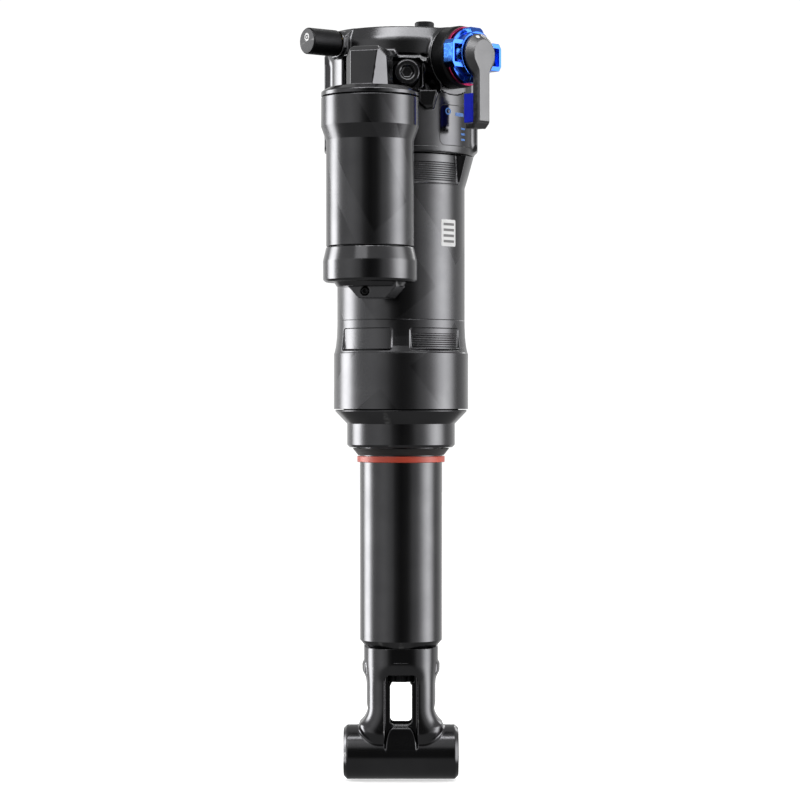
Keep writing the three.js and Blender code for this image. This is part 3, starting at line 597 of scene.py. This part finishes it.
def trunk(x, y, z):
    """The round body with its trunnion pads, cut back in front below the brim."""
    r = np.hypot(x, y)
    body = convex(r, z, [(-5, HEAD_UNDER), (HEAD_R - 0.5, HEAD_UNDER), (HEAD_R, HEAD_UNDER + 2),
                         (HEAD_R, HEAD_BRIM), (HEAD_R - 1.4, HEAD_TOP), (-5, HEAD_TOP)], 0.35)
    pads = met(convex(y, z, [(-8.5, -14.5), (-7, -16), (7, -16), (8.5, -14.5), (8.5, 14), (5, 17.5),
                             (-5, 17.5), (-8.5, 14)], 1.2), np.abs(x) - PAD_FACE, 0.5)

    # The cut lies in front of the axis, between two walls that point at it.
    past_left = -(x * math.cos(CUT_LEFT) + y * math.sin(CUT_LEFT))
    past_right = x * math.cos(CUT_RIGHT) + y * math.sin(CUT_RIGHT)
    room = met(np.maximum(past_left, past_right), CUT_R - r, 2.0)
    room = met(room, np.abs(z - 9.5) - 6.5, 1.0) + np.where(y < 0, 0, 50)
    return joined(cut(body, room, 0.7), pads, 2.4)


def bridge(x, y, z):
    """The arm to the reservoir, the reservoir's cap, and the spigot inside its tube."""
    u, v, w = seen_from(ARM, x, y, z)
    section = convex(u, v, [(-7.1, CAP_UNDER), (7.1, CAP_UNDER), (7.1, 12.7), (4.4, 16.2), (-4.5, 16.2),
                            (-7.1, 12.7)], 0.3)
    taper = 0.15 * (14 - v)
    right_facet = ((u - 4.7 + taper) * 3.6 + (w - ARM_FACE) * 2.6) / 4.44
    left_facet = ((-u - 4.7) * 3.6 + (w - ARM_FACE) * 2.6) / 4.44
    top_facet = ((v - 14.5) * 2.2 + (w - ARM_FACE) * 1.7) / 2.78
    facets = met(met(w - ARM_FACE, right_facet, 0.2), met(left_facet, top_facet, 0.2), 0.2)
    arm = met(met(section, facets, 0.25), 15 - w, 0.2)

    from_axis = np.hypot(x - RES_X, y - RES_Y)
    clearance = bar(from_axis, z, RESERVOIR_CLEAR_R, -30, CAP_UNDER, 0.2)
    cap = convex(from_axis, z, [(-5, CAP_UNDER), (16.75, CAP_UNDER), (16.75, 0.8), (14.4, 2.3),
                                (-5, 2.3)], 0.25)
    spigot = bar(from_axis, z, SPIGOT_R, -6, 1, 0.3)
    spigot = cut(spigot, met(SPIGOT_GROOVE_R - from_axis, np.abs(z + 3.6) - 1, 0.2), 0.1)
    return [(cut, clearance, 0.3), (joined, arm, 1.6), (joined, cap, 1.1), (joined, spigot, 0.1)]


def bosses(x, y, z):
    """The bosses of the adjusters and the valve, and the small faceted chin."""
    cu, cv, cw = seen_from(COMPRESSION, x, y, z)
    boss = bar(np.hypot(cu, cv), cw, 10.8, 14, COMPRESSION_FACE, 0.5)

    vu, vv, vw = seen_from(VALVE, x, y, z)
    stem = met(bar(np.hypot(vu, vv), vw, 4.9, 14, VALVE_FACE, 0.4), rounded_box(vu, vv + 0.4, 4.6, 4.7, 1.5),
               0.5)
    wedge = convex(vw, vv, [(20, -4.5), (26.9, -4.5), (27.6, 2.5), (25.5, 4.4), (20, 4.4)], 0.2)
    stem = joined(stem, met(wedge, np.abs(vu) - 4.6, 0.25), 0.3)

    ku, kv, kw = seen_from(BOTTOM_OUT, x, y, z)
    frame_block = eased(rounded_box(ku, kv - 0.4, 6.45, 6.15, 2.2), np.abs(kw - 18) - 6, 0.9)
    lip = met(convex(ku, kv, [(-6, 5.2), (7, 4), (7.4, 5.6), (3.5, 7), (-5.2, 7.4)], 0.3),
              np.maximum(12 - kw, (kv - 4.9) * 0.42 + (kw - 26.1) * 0.907), 0.2)
    chin = met(convex(x, z, [(6.3, -1.2), (8.6, -3.2), (11.0, -2.8), (12.5, 3.1), (6.3, 3.1)], 0.2),
               np.abs(y + 23.2) - 4.2 + np.maximum(0, 0.35 * (-2 - z)), 0.3)
    return [(joined, boss, 1.0), (joined, stem, 1.2), (joined, joined(frame_block, lip, 0.4), 1.0),
            (joined, chin, 0.8)]


def adjuster_bores(x, y, z):
    cu, cv, cw = seen_from(COMPRESSION, x, y, z)
    cr = np.hypot(cu, cv)
    vu, vv, vw = seen_from(VALVE, x, y, z)
    ku, kv, kw = seen_from(BOTTOM_OUT, x, y, z)
    knob_room = met(met(rounded_box(ku, kv - 0.2, 5.5, 5.1, 1.7), 20.9 - kw, 0.4), kw - 40, 0.1)
    return [(cut, bar(cr, cw, 7.8, 12.7, 60, 0.4), 0.3),
            (cut, bar(cr, cw, 13, COMPRESSION_FACE, 34, 0.2), 0.3),
            (cut, bar(np.hypot(vu, vv), vw, 4.0, 18.7, 60, 0.3), 0.3),
            (cut, knob_room, 0.25),
            (cut, bar(np.hypot(ku, kv), kw, 4.8, 19.7, 40, 0.2), 0.2)]


def spigot_and_bores(x, y, z):
    """The spigot that the can screws on to, and the bores of the damper, bleed screw and trunnions."""
    r = np.hypot(x, y)
    lower = bar(r, z, 20.4, -23, -17, 0.4)
    lower = cut(lower, met(18.4 - r, np.abs(z + 20.8) - 1, 0.2), 0.15)
    bx, by, bz = seen_from(BLEED, x, y, z)
    across = np.hypot(y, z)
    hole = bar(across, np.abs(x), 4.4, 13, 60, 0.3)
    countersink = convex(across, np.abs(x), [(-5, 26.2), (4.4, 26.2), (5.6, 27.4), (-5, 27.4)], 0.1)
    return [(joined, lower, 0.15),
            (cut, bar(r, z, 11.8, -40, -9.7, 0.4), 0.3),
            (cut, bar(np.hypot(bx, by), bz, 2.5, 18.7, 40, 0.2), 0.3),
            (cut, joined(hole, countersink, 0.1), 0.15)]


def head_field(x, y, z):
    steps = bridge(x, y, z) + bosses(x, y, z) + adjuster_bores(x, y, z) + spigot_and_bores(x, y, z)
    return worked(trunk(x, y, z), steps)


def build_head():
    stand_skin("head", head_field, 0.42)


# ---- Air can ----

def can_radius(radii, heights, theta):
    """The can's outside: flares with four pockets each, grooved pocket floors, and a seam."""
    z = heights + 0 * theta
    flare = np.interp(z, *zip(*CAN_FLARE))
    turn_deg = np.degrees(theta) % 180
    aside = np.minimum(turn_deg, 180 - turn_deg)
    middle = (POCKET_FROM + POCKET_TO) / 2
    half = (POCKET_TO - POCKET_FROM) / 2 * math.pi / 180 * POCKET_R
    sideways = (aside - middle) * math.pi / 180 * POCKET_R
    upper = -rounded_box(sideways, z + 22.6, half, 6.0, 1.3)
    lower = -rounded_box(sideways, z + 83.2, half, 4.0, 1.3)
    depth = np.maximum(np.maximum(upper, 0) * 2.4, np.maximum(lower, 0) * 1.5)
    floor = np.full_like(z, 22.45)
    ribs = RIB_DEPTH * np.clip(-3.2 * np.cos(2 * math.pi * z / RIB_PITCH) - 1.9, 0, 1)
    floor -= ribs * ((z > -28.1) & (z < -20.6) & (upper > 1))
    floor -= ribs * ((z > -86.6) & (z < -81.2) & (lower > 0.8) & (np.degrees(theta) % 360 < 90))
    outer = np.maximum(np.minimum(flare, np.maximum(floor, flare - depth)), 20.95)
    outer -= 0.12 * np.exp(-((z + 76.3) / 0.09) ** 2)

    # The upper flare is cut away round the reservoir's cap.
    from_arm = theta - math.atan2(ARM_OUT[0], -ARM_OUT[1])
    reach = RESERVOIR_CLEAR_R ** 2 - (RES_OUT * np.sin(from_arm)) ** 2
    near = RES_OUT * np.cos(from_arm) - np.sqrt(np.maximum(reach, 0))
    facing = (reach > 0) & (np.cos(from_arm) > 0) & (z > -32)
    outer = np.where(facing, np.minimum(outer, near), outer)
    return np.where(radii > 21.5, outer, radii)


def build_can():
    def rows(low, high, step):
        return list(np.arange(low, high, step))
    levels = [CAN_FOOT, -107.6, -107.4] + rows(-107, -89, 1.5) + [-88.6, -88.3, -88.1]
    levels += rows(-88, -79, 0.09) + [-78, -77, -76.6] + rows(-76.5, -76.05, 0.05) + [-76, -75]
    levels += rows(-72, -33, 3) + rows(-32.2, -28.8, 0.3) + rows(-28.7, -19.9, 0.09)
    levels += rows(-19.8, -18.4, 0.2) + [-18.35, CAN_TOP]
    outside = [(23, z) for z in levels]
    bore = [(20.9, CAN_TOP), (20.7, -18.5), (20.7, -60), (20.7, -107.5), (20.9, CAN_FOOT)]
    piece = turn("air_can_fine", outside + bore, True, MAIN, 480, can_radius)
    stand_for(piece, "air_can")
    piece.data.materials[0] = CAN_FINISH


# ---- Lower eyelet ----

def eyelet_solid(x, y, z):
    """A column, oblong below a round neck, that sweeps out at its foot to the barrel."""
    r, out, across = np.hypot(x, y), np.abs(x), np.hypot(y, z - EYE_Z)
    rise = np.clip((z + 206) / 9, 0, 1)
    rise = rise * rise * (3 - 2 * rise)
    arc = (1 - np.hypot((out - 18.6) / 6.8, (z - SWEEP_Z) / 7.2)) * 7.0
    side = np.where(z > SWEEP_Z, out - 11.8 - 0.9 * rise, np.where(out > 18.6, z + 220.6, arc))
    plan = met(side, rounded_box(x, z + 200, 14.9, 28.2, 7.5), 0.6)
    column = eased(plan, np.abs(y) - 10.6 - 1.9 * rise, 6.3 + 3.4 * rise)
    column = met(column, z - NECK_TOP, 0.1)
    tabs = met(convex(r, z, [(-5, -206), (10.2, -206), (13.75, -200.9), (13.75, -198.2), (13.3, -197.7),
                             (-5, -197.7)], 0.3), np.abs(y) - 5.2, 0.4)
    web = eased(met(side, out - 18.8, 0.5), np.abs(y) - 6.0, 4.5)
    web = met(web, -213 - z, 2.0)
    barrel = convex(across, out, [(-5, -5), (9.7, -5), (9.7, 19.2), (8.4, 20.5), (-5, 20.5)], 0.25)
    return joined(joined(joined(column, tabs, 0.5), web, 2.0), barrel, 0.9)


def eyelet_hollows(x, y, z):
    """Recesses on both faces round a bell-shaped tongue, the window, the wheel's slot and the bores."""
    r, out, across = np.hypot(x, y), np.abs(x), np.hypot(y, z - EYE_Z)
    recess = met(rounded_box(x, z + 215.3, 5.8, 13.5, 1.8), 6.0 - np.abs(y), 0.5)
    below = np.maximum(-220.3 - z, 0)
    spread = 3.3 + 2.3 * (1 - np.exp(-below / 2.6))
    face = 9.2 + 0.5 * np.clip((below - 3) / 4, 0, 1)
    tongue = met(met(out - spread, np.abs(y) - face, 0.6), np.maximum(z + 220.1, -229.6 - z), 1.4)
    window = rounded_box(x, z + 212.28, WINDOW_HALF, 7.37, 1.4)
    sump = met(met(out - WINDOW_HALF, np.abs(y) - 4.9, 0.4), np.abs(z + 218) - 3.4, 0.3)
    collar = met(bar(r, z, 10.7, -193, -185.7, 0.25), 6.3 - r, 0.2)
    return [(cut, recess, 0.5), (joined, tongue, 0.3), (cut, window, 0.4), (cut, sump, 0.25),
            (cut, bar(r, z, 7.5, -204.9, -201.6, 0.2), 0.25),
            (cut, bar(r, z, 2.1, -204, -180, 0.1), 0.15),
            (joined, collar, 0.2),
            (cut, bar(r, z, 6.3, -194.3, -180, 0.2), 0.15),
            (cut, bar(across, x, 5.6, -40, 40, 0.1), 0.15),
            (cut, bar(across, out, 7.2, 13.5, 40, 0.1), 0.3)]


def eyelet_field(x, y, z):
    return worked(eyelet_solid(x, y, z), eyelet_hollows(x, y, z))


def build_eyelet():
    stand_skin("lower_eyelet", eyelet_field, 0.33)


# ---- Compression dial and lever ----

def dial_field(x, y, z):
    """A low disc with a hub, two long wings with a slot through each, and two short tabs."""
    u, v, w = seen_from(COMPRESSION, x, y, z)
    r = np.hypot(u, v)
    body = convex(r, w, [(-5, DIAL_BASE), (9.4, DIAL_BASE), (9.6, 33.4), (9.6, 34), (8.2, 34.3),
                         (-5, 34.3)], 0.1)
    body = joined(body, bar(r, w, 8.2, DIAL_BASE, DIAL_TOP, 0.15), 0.15)
    wing = convex(np.abs(u), np.abs(v), [(-5, -5), (12.3, -5), (12.3, 3.2), (11.2, 4.8), (-5, 4.8)], 0.1)
    wing = met(wing, np.abs(w - 35.2) - 2.2, 0.15)
    wing = cut(wing, rounded_box(np.abs(u) - 9.3, v, 1.9, 3.1, 0.3), 0.15)
    tab = convex(np.abs(v), np.abs(u), [(-5, -5), (9.7, -5), (9.7, 2.4), (9, 3.2), (-5, 3.2)], 0.1)
    tab = met(tab, np.maximum(DIAL_BASE - w, w - 37.4 + 0.5 * (np.abs(v) - 8.2)), 0.15)
    body = joined(joined(body, met(wing, 6 - r, 0.1), 0.1), met(tab, 6 - r, 0.1), 0.1)
    body = cut(body, bar(r, w, 6.8, 34, 50, 0.2), 0.15)
    return cut(body, bar(r, w, 2.9, 20, 40, 0.1), 0.1)


def lever_field(x, y, z):
    """A hub with a chamfered rim, and an arm whose end hooks back towards the head."""
    u, v, w = seen_from(COMPRESSION, x, y, z)
    r = np.hypot(u, v)
    hub = convex(r, w, [(-5, 38.1), (7.3, 38.1), (7.3, 38.9), (5.1, LEVER_TOP), (-5, LEVER_TOP)], 0.15)
    arm = met(np.abs(u) - 2.9, np.abs(v + 12.75) - 12.75, 0.3)
    arm = met(arm, (np.abs(u) - 2.9 + w - LEVER_TOP + 0.5) * 0.707, 0.1)
    arm = met(arm, (w - LEVER_TOP - 23.1 - v) * 0.707, 0.2)
    plate = met(arm, np.abs(w - 39.55) - 1.45, 0.2)
    hook = met(arm, met(np.abs(w - 37.8) - 3.2, v + 23.9, 0.2), 0.2)
    body = joined(joined(hub, plate, 1.6), hook, 0.4)
    body = met(body, w - LEVER_TOP, 0.1)
    return cut(body, bar(r, w, 2.8, 30, 39.6, 0.1), 0.15)


def insert_field(x, y, z):
    u, v, w = seen_from(COMPRESSION, x, y, z)
    plan = convex(u, v, [(-2.1, -23.4), (2.1, -23.4), (2.1, -14.6), (-2.1, -13.2)], 0.3)
    return met(plan, np.maximum(DIAL_BASE - w, w - DIAL_TOP), 0.2)


def build_dial():
    stand_skin("compression_dial", dial_field, 0.18, 0.8)
    stand_skin("lockout_lever", lever_field, 0.2, 0.8)
    stand_skin("lever_insert", insert_field, 0.16, 0.8).data.materials[0] = INSERT_BLUE


# ---- Reservoir end cap and piston nut ----

def end_cap_field(x, y, z):
    """A skirt that flares below the tube, a spigot inside the tube, and a block on a round foot."""
    u, v, _ = seen_from(RESERVOIR, x, y, z)
    r = np.hypot(u, v)
    skirt = convex(r, z, [(-5, -64.2), (15.2, -64.2), (END_CAP_R, -63.4), (END_CAP_R, -56.9),
                          (-5, -56.9)], 0.25)
    flare = convex(r, z, [(-5, -58), (16.35, -58), (15.04, -52.3), (-5, -52.3)], 0.2)
    body = joined(skirt, met(flare, r - END_CAP_R, 0.1), 0.1)
    spigot = bar(r, z, SPIGOT_R, -53, -46, 0.3)
    spigot = cut(spigot, met(SPIGOT_GROOVE_R - r, np.abs(z + 48.65) - 0.85, 0.1), 0.1)
    foot = convex(r, z, [(-5, -65.7), (11.4, -65.7), (12.4, -64.2), (12.4, -60), (-5, -60)], 0.15)
    block = met(convex(u, z, [(-2.4, -69.8), (7.4, -69.8), (11, -65.8), (11, -62), (-9.4, -62)], 0.2),
                np.abs(v + 0.65) - 5.65, 0.2)
    screw_hole = bar(np.hypot(u, z + 67.4), -v, 1.5, 2, 30, 0.1)
    return worked(body, [(joined, spigot, 0.1), (joined, foot, 0.2), (joined, block, 0.3),
                         (cut, screw_hole, 0.2)])


def nut_field(x, y, z):
    """A hexagon with chamfered corners and a round bore."""
    r = np.hypot(x, y)
    sides = np.maximum.reduce([np.abs(x * math.cos(t) + y * math.sin(t))
                               for t in (0, math.pi / 3, 2 * math.pi / 3)])
    body = met(sides - 4.67, np.abs(z - NUT_Z) - 1.75, 0.1)
    body = met(body, r + np.abs(z - NUT_Z) - 6.7, 0.2)
    return cut(body, r - 3.3, 0.1)


def build_small_skins():
    stand_skin("reservoir_end_cap", end_cap_field, 0.34, 0.8)
    stand_skin("piston_nut", nut_field, 0.24, 0.6)


# ---- Turned pieces ----

def hexagonal(limit):
    """A shape that makes everything nearer the axis than the limit six-sided, for a key's socket."""
    def radius_of(radii, heights, theta):
        corner = (theta + math.pi / 6) % (math.pi / 3) - math.pi / 6
        return np.where(radii < limit, radii * 0.93 / np.cos(corner), radii)
    return radius_of


def scalloped(limit, count, depth):
    """A shape that cuts grip scallops into everything further out than the limit."""
    def radius_of(radii, heights, theta):
        wave = (0.5 + 0.5 * np.cos(count * theta)) ** 2
        return np.where(radii > limit, radii - depth * wave, radii)
    return radius_of


def build_turned():
    for name, fillet, segments in (
            ("can_end_ring", 0.35, 128), ("strut_tube", 0.3, 128), ("wiper_seal", 0.15, 128),
            ("strut_guide_bushing", 0.15, 96), ("strut_air_seal", 0.3, 96), ("top_out_bumper", 0.5, 96),
            ("damper_tube", 0.2, 96), ("damper_end_cap", 0.25, 96), ("rod_seal", 0.3, 96),
            ("air_piston", 0.2, 96), ("air_piston_guide", 0.2, 96), ("sag_ring", 0.33, 128),
            ("damper_rod", 0.3, 64), ("compression_shims", 0.1, 64), ("main_piston", 0.25, 64),
            ("main_piston_ring", 0.2, 64), ("rebound_shims", 0.1, 64), ("bottom_out_bumper", 0.6, 96),
            ("rebound_rod", 0.3, 48)):
        refine(name, MAIN, fillet, segments)
    for name in ("can_o_ring", "end_ring_o_ring", "air_piston_seal", "air_piston_inner_seal"):
        refine_o_ring(name)
    for name in ("reservoir_seal", "end_cap_seal", "floating_piston_seal"):
        refine_o_ring(name, RESERVOIR)
    refine("reservoir_body", RESERVOIR, 0.35, 128).data.materials[0] = RESERVOIR_FINISH
    refine("floating_piston", RESERVOIR, 0.3, 96)
    refine("compression_housing", COMPRESSION, 0.3, 96)
    refine("compression_detent_ring", COMPRESSION, 0.25, 96)
    refine("compression_spindle", COMPRESSION, 0.3, 48)
    refine("valve_body", VALVE, 0.2, 64)
    refine("valve_core", VALVE, 0.15, 48)
    refine("valve_pin", VALVE, 0.2, 32)
    refine("valve_cap", VALVE, 0.35, 96)
    refine("bottom_out_sleeve", BOTTOM_OUT, 0.25, 64)
    refine("bottom_out_knob", BOTTOM_OUT, 0.75, 120, hexagonal(2.4), 4)
    refine("bleed_screw", BLEED, 0.25, 120, hexagonal(1.8), 4)
    refine("rebound_wheel", MAIN, 0.3, 216, scalloped(5, 18, 0.45), 4)
    screw = RESERVOIR @ place((1, 0, 0), (0, 0, 1), (0, -1, 0), (0, 0, centre("gas_charge_screw")[2]))
    refine("gas_charge_screw", screw, 0.15, 48)
    for side in ("left", "right"):
        refine(f"bearing_outer_{side}", EYE, 0.3, 96)
        refine(f"bearing_inner_{side}", EYE, 0.25, 96)
        refine(f"bearing_seal_{side}", EYE, 0.15, 96)
    refine("axle_sleeve", EYE, 0.25, 96)


# ---- Marks ----

def patch(name, material, slot, reach, turn_from, turn_to, low, high, corner):
    """A thin curved plate with round corners that lies on a tube: angles in degrees, heights in mm."""
    start, end = (math.radians(a) * reach for a in (turn_from, turn_to))
    steps = np.linspace(0, 1, 9)
    bend = corner * (1 - np.cos(steps * math.pi / 2))
    along = np.concatenate([start + bend, np.linspace(start + corner, end - corner, 24)[1:-1],
                            end - bend[::-1]])
    inset = np.minimum(along - start, end - along)
    drop = np.where(inset < corner, corner - np.sqrt(np.maximum(corner ** 2 - (corner - inset) ** 2, 0)), 0)
    front, back = reach + MARK_PROUD, reach - PATCH_DEPTH
    points = []
    for s, d in zip(along, drop):
        angle = s / reach
        for r, z in ((front, low + d), (front, high - d), (back, high - d), (back, low + d)):
            points.append((r * math.sin(angle), -r * math.cos(angle), z))
    faces = []
    for i in range(len(along) - 1):
        a, b = 4 * i, 4 * i + 4
        faces += [[a + k, b + k, b + (k + 1) % 4, a + (k + 1) % 4] for k in range(4)]
    faces += [[0, 1, 2, 3], [len(points) - 1, len(points) - 2, len(points) - 3, len(points) - 4]]
    piece = make_piece(name, points, faces)
    piece.data.polygons.foreach_set("use_smooth", [False] * len(piece.data.polygons))
    return add_detail(piece, "root", slot, material)


def ring_mark(name, body, material, slot, at, inner, outer):
    """A flat ring, or a dot where inner is 0, that lies on the surface at the frame's origin."""
    profile = [(inner, -RING_DEPTH), (outer, -RING_DEPTH), (outer, MARK_PROUD), (inner, MARK_PROUD)]
    return add_detail(turn(name, profile, bool(inner), at, 48), body, slot, material)


def on_tube(reach, azimuth, height):
    """A frame on a tube round the main axis, facing outwards."""
    angle = math.radians(azimuth)
    out = np.array((math.sin(angle), -math.cos(angle), 0))
    return place(np.cross((0, 0, 1), out), (0, 0, 1), out, out * reach + np.array((0, 0, height)))


def shifted(at, u, v, w):
    moved = at.copy()
    moved[:3, 3] = at[:3, 3] + at[:3, 0] * u + at[:3, 1] * v + at[:3, 2] * w
    return moved


def mark_head():
    """A glossy panel beside the dial on a dark matt edge, with a plain ring, bar and ticks; the seam left of
    it is drawn with the other seams.
    """
    patch("head_panel_edge", MATERIALS["black_matte"], "black_matte", HEAD_R - 0.015, 30.5, 74.5, -15.6,
          -1.2, 2.2)
    patch("head_panel", PANEL, "black_anodised", HEAD_R, 31, 74, -15.3, -1.5, 2)
    ring_mark("head_mark_ring", "root", PRINT_BLUE, "blue_anodised", on_tube(HEAD_R + 0.05, 38.5, -3.6),
              0.75, 1.25)
    patch("head_mark_bar", PRINT_BLUE, "blue_anodised", HEAD_R + 0.04, 46, 56, -5.0, -3.8, 0.3)
    for i in range(3):
        patch(f"head_mark_tick_{i}", PRINT_BLUE, "blue_anodised", HEAD_R + 0.04, 53, 58, -9.6 - 1.9 * i,
              -8.9 - 1.9 * i, 0.2)


def mark_can():
    """A plain white label with four bars."""
    patch("can_label", PRINT_WHITE, "grey_anodised", CAN_R, 38.5, 57.5, -50.5, -41.1, 0.5)
    for i in range(4):
        patch(f"can_label_line_{i}", PRINT_GREY, "black_matte", CAN_R + 0.03, 41, 55, -49.2 + 2 * i,
              -48.3 + 2 * i, 0.2)


def mark_seams():
    """A hair-fine pale grey line low on the head, a seam whose glint is painted into its colour, and a real
    bead round the eyelet's neck.
    """
    # Painted highlight: the head's seam is a flat line in a paler grey that stands for the light catching its
    # edge; it is not a bead.
    patch("head_seam_glint", MATERIALS["grey_anodised"], "grey_anodised", HEAD_R, 10, 29, -16.08, -15.96, 0.05)
    bead = [(12.68, -197.5), (12.74, -197.45), (12.76, -197.38), (12.74, -197.31), (12.68, -197.26)]
    add_detail(turn("neck_seam", bead, True, MAIN, 128), "shaft", "black_anodised")


def mark_cap():
    """A ring with a dot on the end of the valve's cap."""
    profile, _ = profile_of("valve_cap", VALVE)
    spot = shifted(VALVE, 0, 1.3, profile[:, 1].max())
    for name, inner, outer in (("cap_mark_ring", 0.85, 1.35), ("cap_mark_dot", 0, 0.4)):
        ring_mark(name, BODY_OF["valve_cap"], PRINT_WHITE, "black_matte", spot, inner, outer)


def mark_lever():
    """Three small marks on the chamfer of the lever's hub."""
    slope = math.atan2(1.9, 2.1)
    right, up, out = COMPRESSION[:3, 0], COMPRESSION[:3, 1], COMPRESSION[:3, 2]
    for i, (angle, inner, outer) in enumerate(((22, 0, 0.7), (-2, 0.45, 0.75), (-24, 0.25, 0.6))):
        u, v = -math.sin(math.radians(angle)), math.cos(math.radians(angle))
        normal = (right * u + up * v) * math.cos(slope) + out * math.sin(slope)
        side = right * -v + up * u
        spot = shifted(COMPRESSION, u * 6.35, v * 6.35, 39.95)[:3, 3]
        at = place(side, np.cross(normal, side), normal, spot)
        ring_mark(f"lever_mark_{i}", BODY_OF["lockout_lever"], PRINT_WHITE, "grey_anodised", at, inner, outer)


# ---- Stage ----

def build_floor():
    level = CAD_BOX[0][2] - 0.0002
    count = 24
    across = np.linspace(-FLOOR_HALF / MM, FLOOR_HALF / MM, count)
    points = [(x, y, level / MM) for y in across for x in across]
    faces = [[r * count + c, r * count + c + 1, (r + 1) * count + c + 1, (r + 1) * count + c]
             for r in range(count - 1) for c in range(count - 1)]
    floor = make_piece("floor", points, faces)
    material = bpy.data.materials.new("floor")
    material.use_nodes = True
    tree = material.node_tree
    shader = tree.nodes["Principled BSDF"]
    position = add_node(tree, "ShaderNodeTexCoord").outputs["Object"]
    colour = mixed(tree, noise(tree, position, 3), (0.93, 0.93, 0.93), (0.9, 0.9, 0.9))
    tree.links.new(colour, shader.inputs["Base Color"])
    shader.inputs["Roughness"].default_value = 0.9
    shader.inputs["Emission Color"].default_value = (1, 1, 1, 1)
    shader.inputs["Emission Strength"].default_value = 0.55
    floor.data.materials.append(material)
    floor.visible_glossy = False
    floor.visible_diffuse = False


def ramp(tree, value, stops, scale):
    """A straight-line ramp of brightness over a value from 0 to 1."""
    made = add_node(tree, "ShaderNodeValToRGB", {0: value})
    made.color_ramp.interpolation = "LINEAR"
    elements = made.color_ramp.elements
    while len(elements) > 1:
        elements.remove(elements[0])
    for i, (at, level) in enumerate(stops):
        element = elements[0] if i == 0 else elements.new(at)
        element.position = at
        element.color = (level / scale, level / scale, level / scale, 1)
    return maths(tree, "MULTIPLY", made.outputs[0], scale)


def build_world():
    """Tall soft panels round the object, an even glow above and below, and white for the camera."""
    world = bpy.data.worlds.new("studio")
    bpy.context.scene.world = world
    world.use_nodes = True
    tree = world.node_tree
    background = tree.nodes["Background"]
    background.inputs["Color"].default_value = (1, 1, 1, 1)
    facing = add_node(tree, "ShaderNodeTexCoord").outputs["Generated"]
    x, y, z = add_node(tree, "ShaderNodeSeparateXYZ", {0: facing}).outputs
    around = maths(tree, "ARCTAN2", x, maths(tree, "MULTIPLY", y, -1.0))
    turned = maths(tree, "MULTIPLY_ADD", around, 1 / (2 * math.pi), 0.5)
    stops = [((angle + 180) / 360, level) for angle, level in PANELS]
    strength = ramp(tree, turned, stops, BRIGHTEST_PANEL)
    seen = add_node(tree, "ShaderNodeLightPath").outputs["Is Camera Ray"]
    for share, level in ((span(tree, z, 0.3, 0.5, 0.0, 1.0), GLOW_ABOVE),
                         (span(tree, z, -0.3, -0.42, 0.0, 1.0), GLOW_BELOW), (seen, BACKDROP)):
        strength = add_node(tree, "ShaderNodeMix", {"Factor": share, 2: strength, 3: level}).outputs[0]
    tree.links.new(strength, background.inputs["Strength"])


def build_lamps():
    for name, place_at, width, height, power, aim_at in LAMPS:
        light = bpy.data.lights.new(name, "AREA")
        light.shape = "RECTANGLE"
        light.size = width
        light.size_y = height
        light.energy = power
        lamp = bpy.data.objects.new(name, light)
        bpy.context.scene.collection.objects.link(lamp)
        lamp.visible_camera = False
        lamp.location = place_at
        lamp.rotation_mode = "QUATERNION"
        lamp.rotation_quaternion = (Vector(aim_at) - Vector(place_at)).to_track_quat("-Z", "Y")


def build_camera():
    """Level, in front of the object at its mid-height, at the photograph's distance."""
    camera = bpy.data.objects.new("camera", bpy.data.cameras.new("camera"))
    bpy.context.scene.collection.objects.link(camera)
    camera.data.lens = 121.5
    camera.data.sensor_width = 36
    camera.data.clip_start = 0.05
    camera.data.clip_end = 20
    camera.location = CAMERA_AT
    camera.rotation_euler = (math.pi / 2, 0, 0)
    bpy.context.scene.camera = camera
    bpy.context.scene.view_settings.view_transform = "Standard"


def finish_kept_nodes():
    """Nodes that no fine piece stands for keep their shape and take their slot's finish."""
    for name, kept in frame["nodes"].items():
        if not kept.hide_render:
            kept.data.materials.clear()
            kept.data.materials.append(MATERIALS[SLOT_OF[name]])


build_camera()
build_head()
build_can()
build_eyelet()
build_dial()
build_small_skins()
build_turned()
mark_head()
mark_can()
mark_seams()
mark_cap()
mark_lever()
finish_kept_nodes()
build_floor()
build_world()
build_lamps()
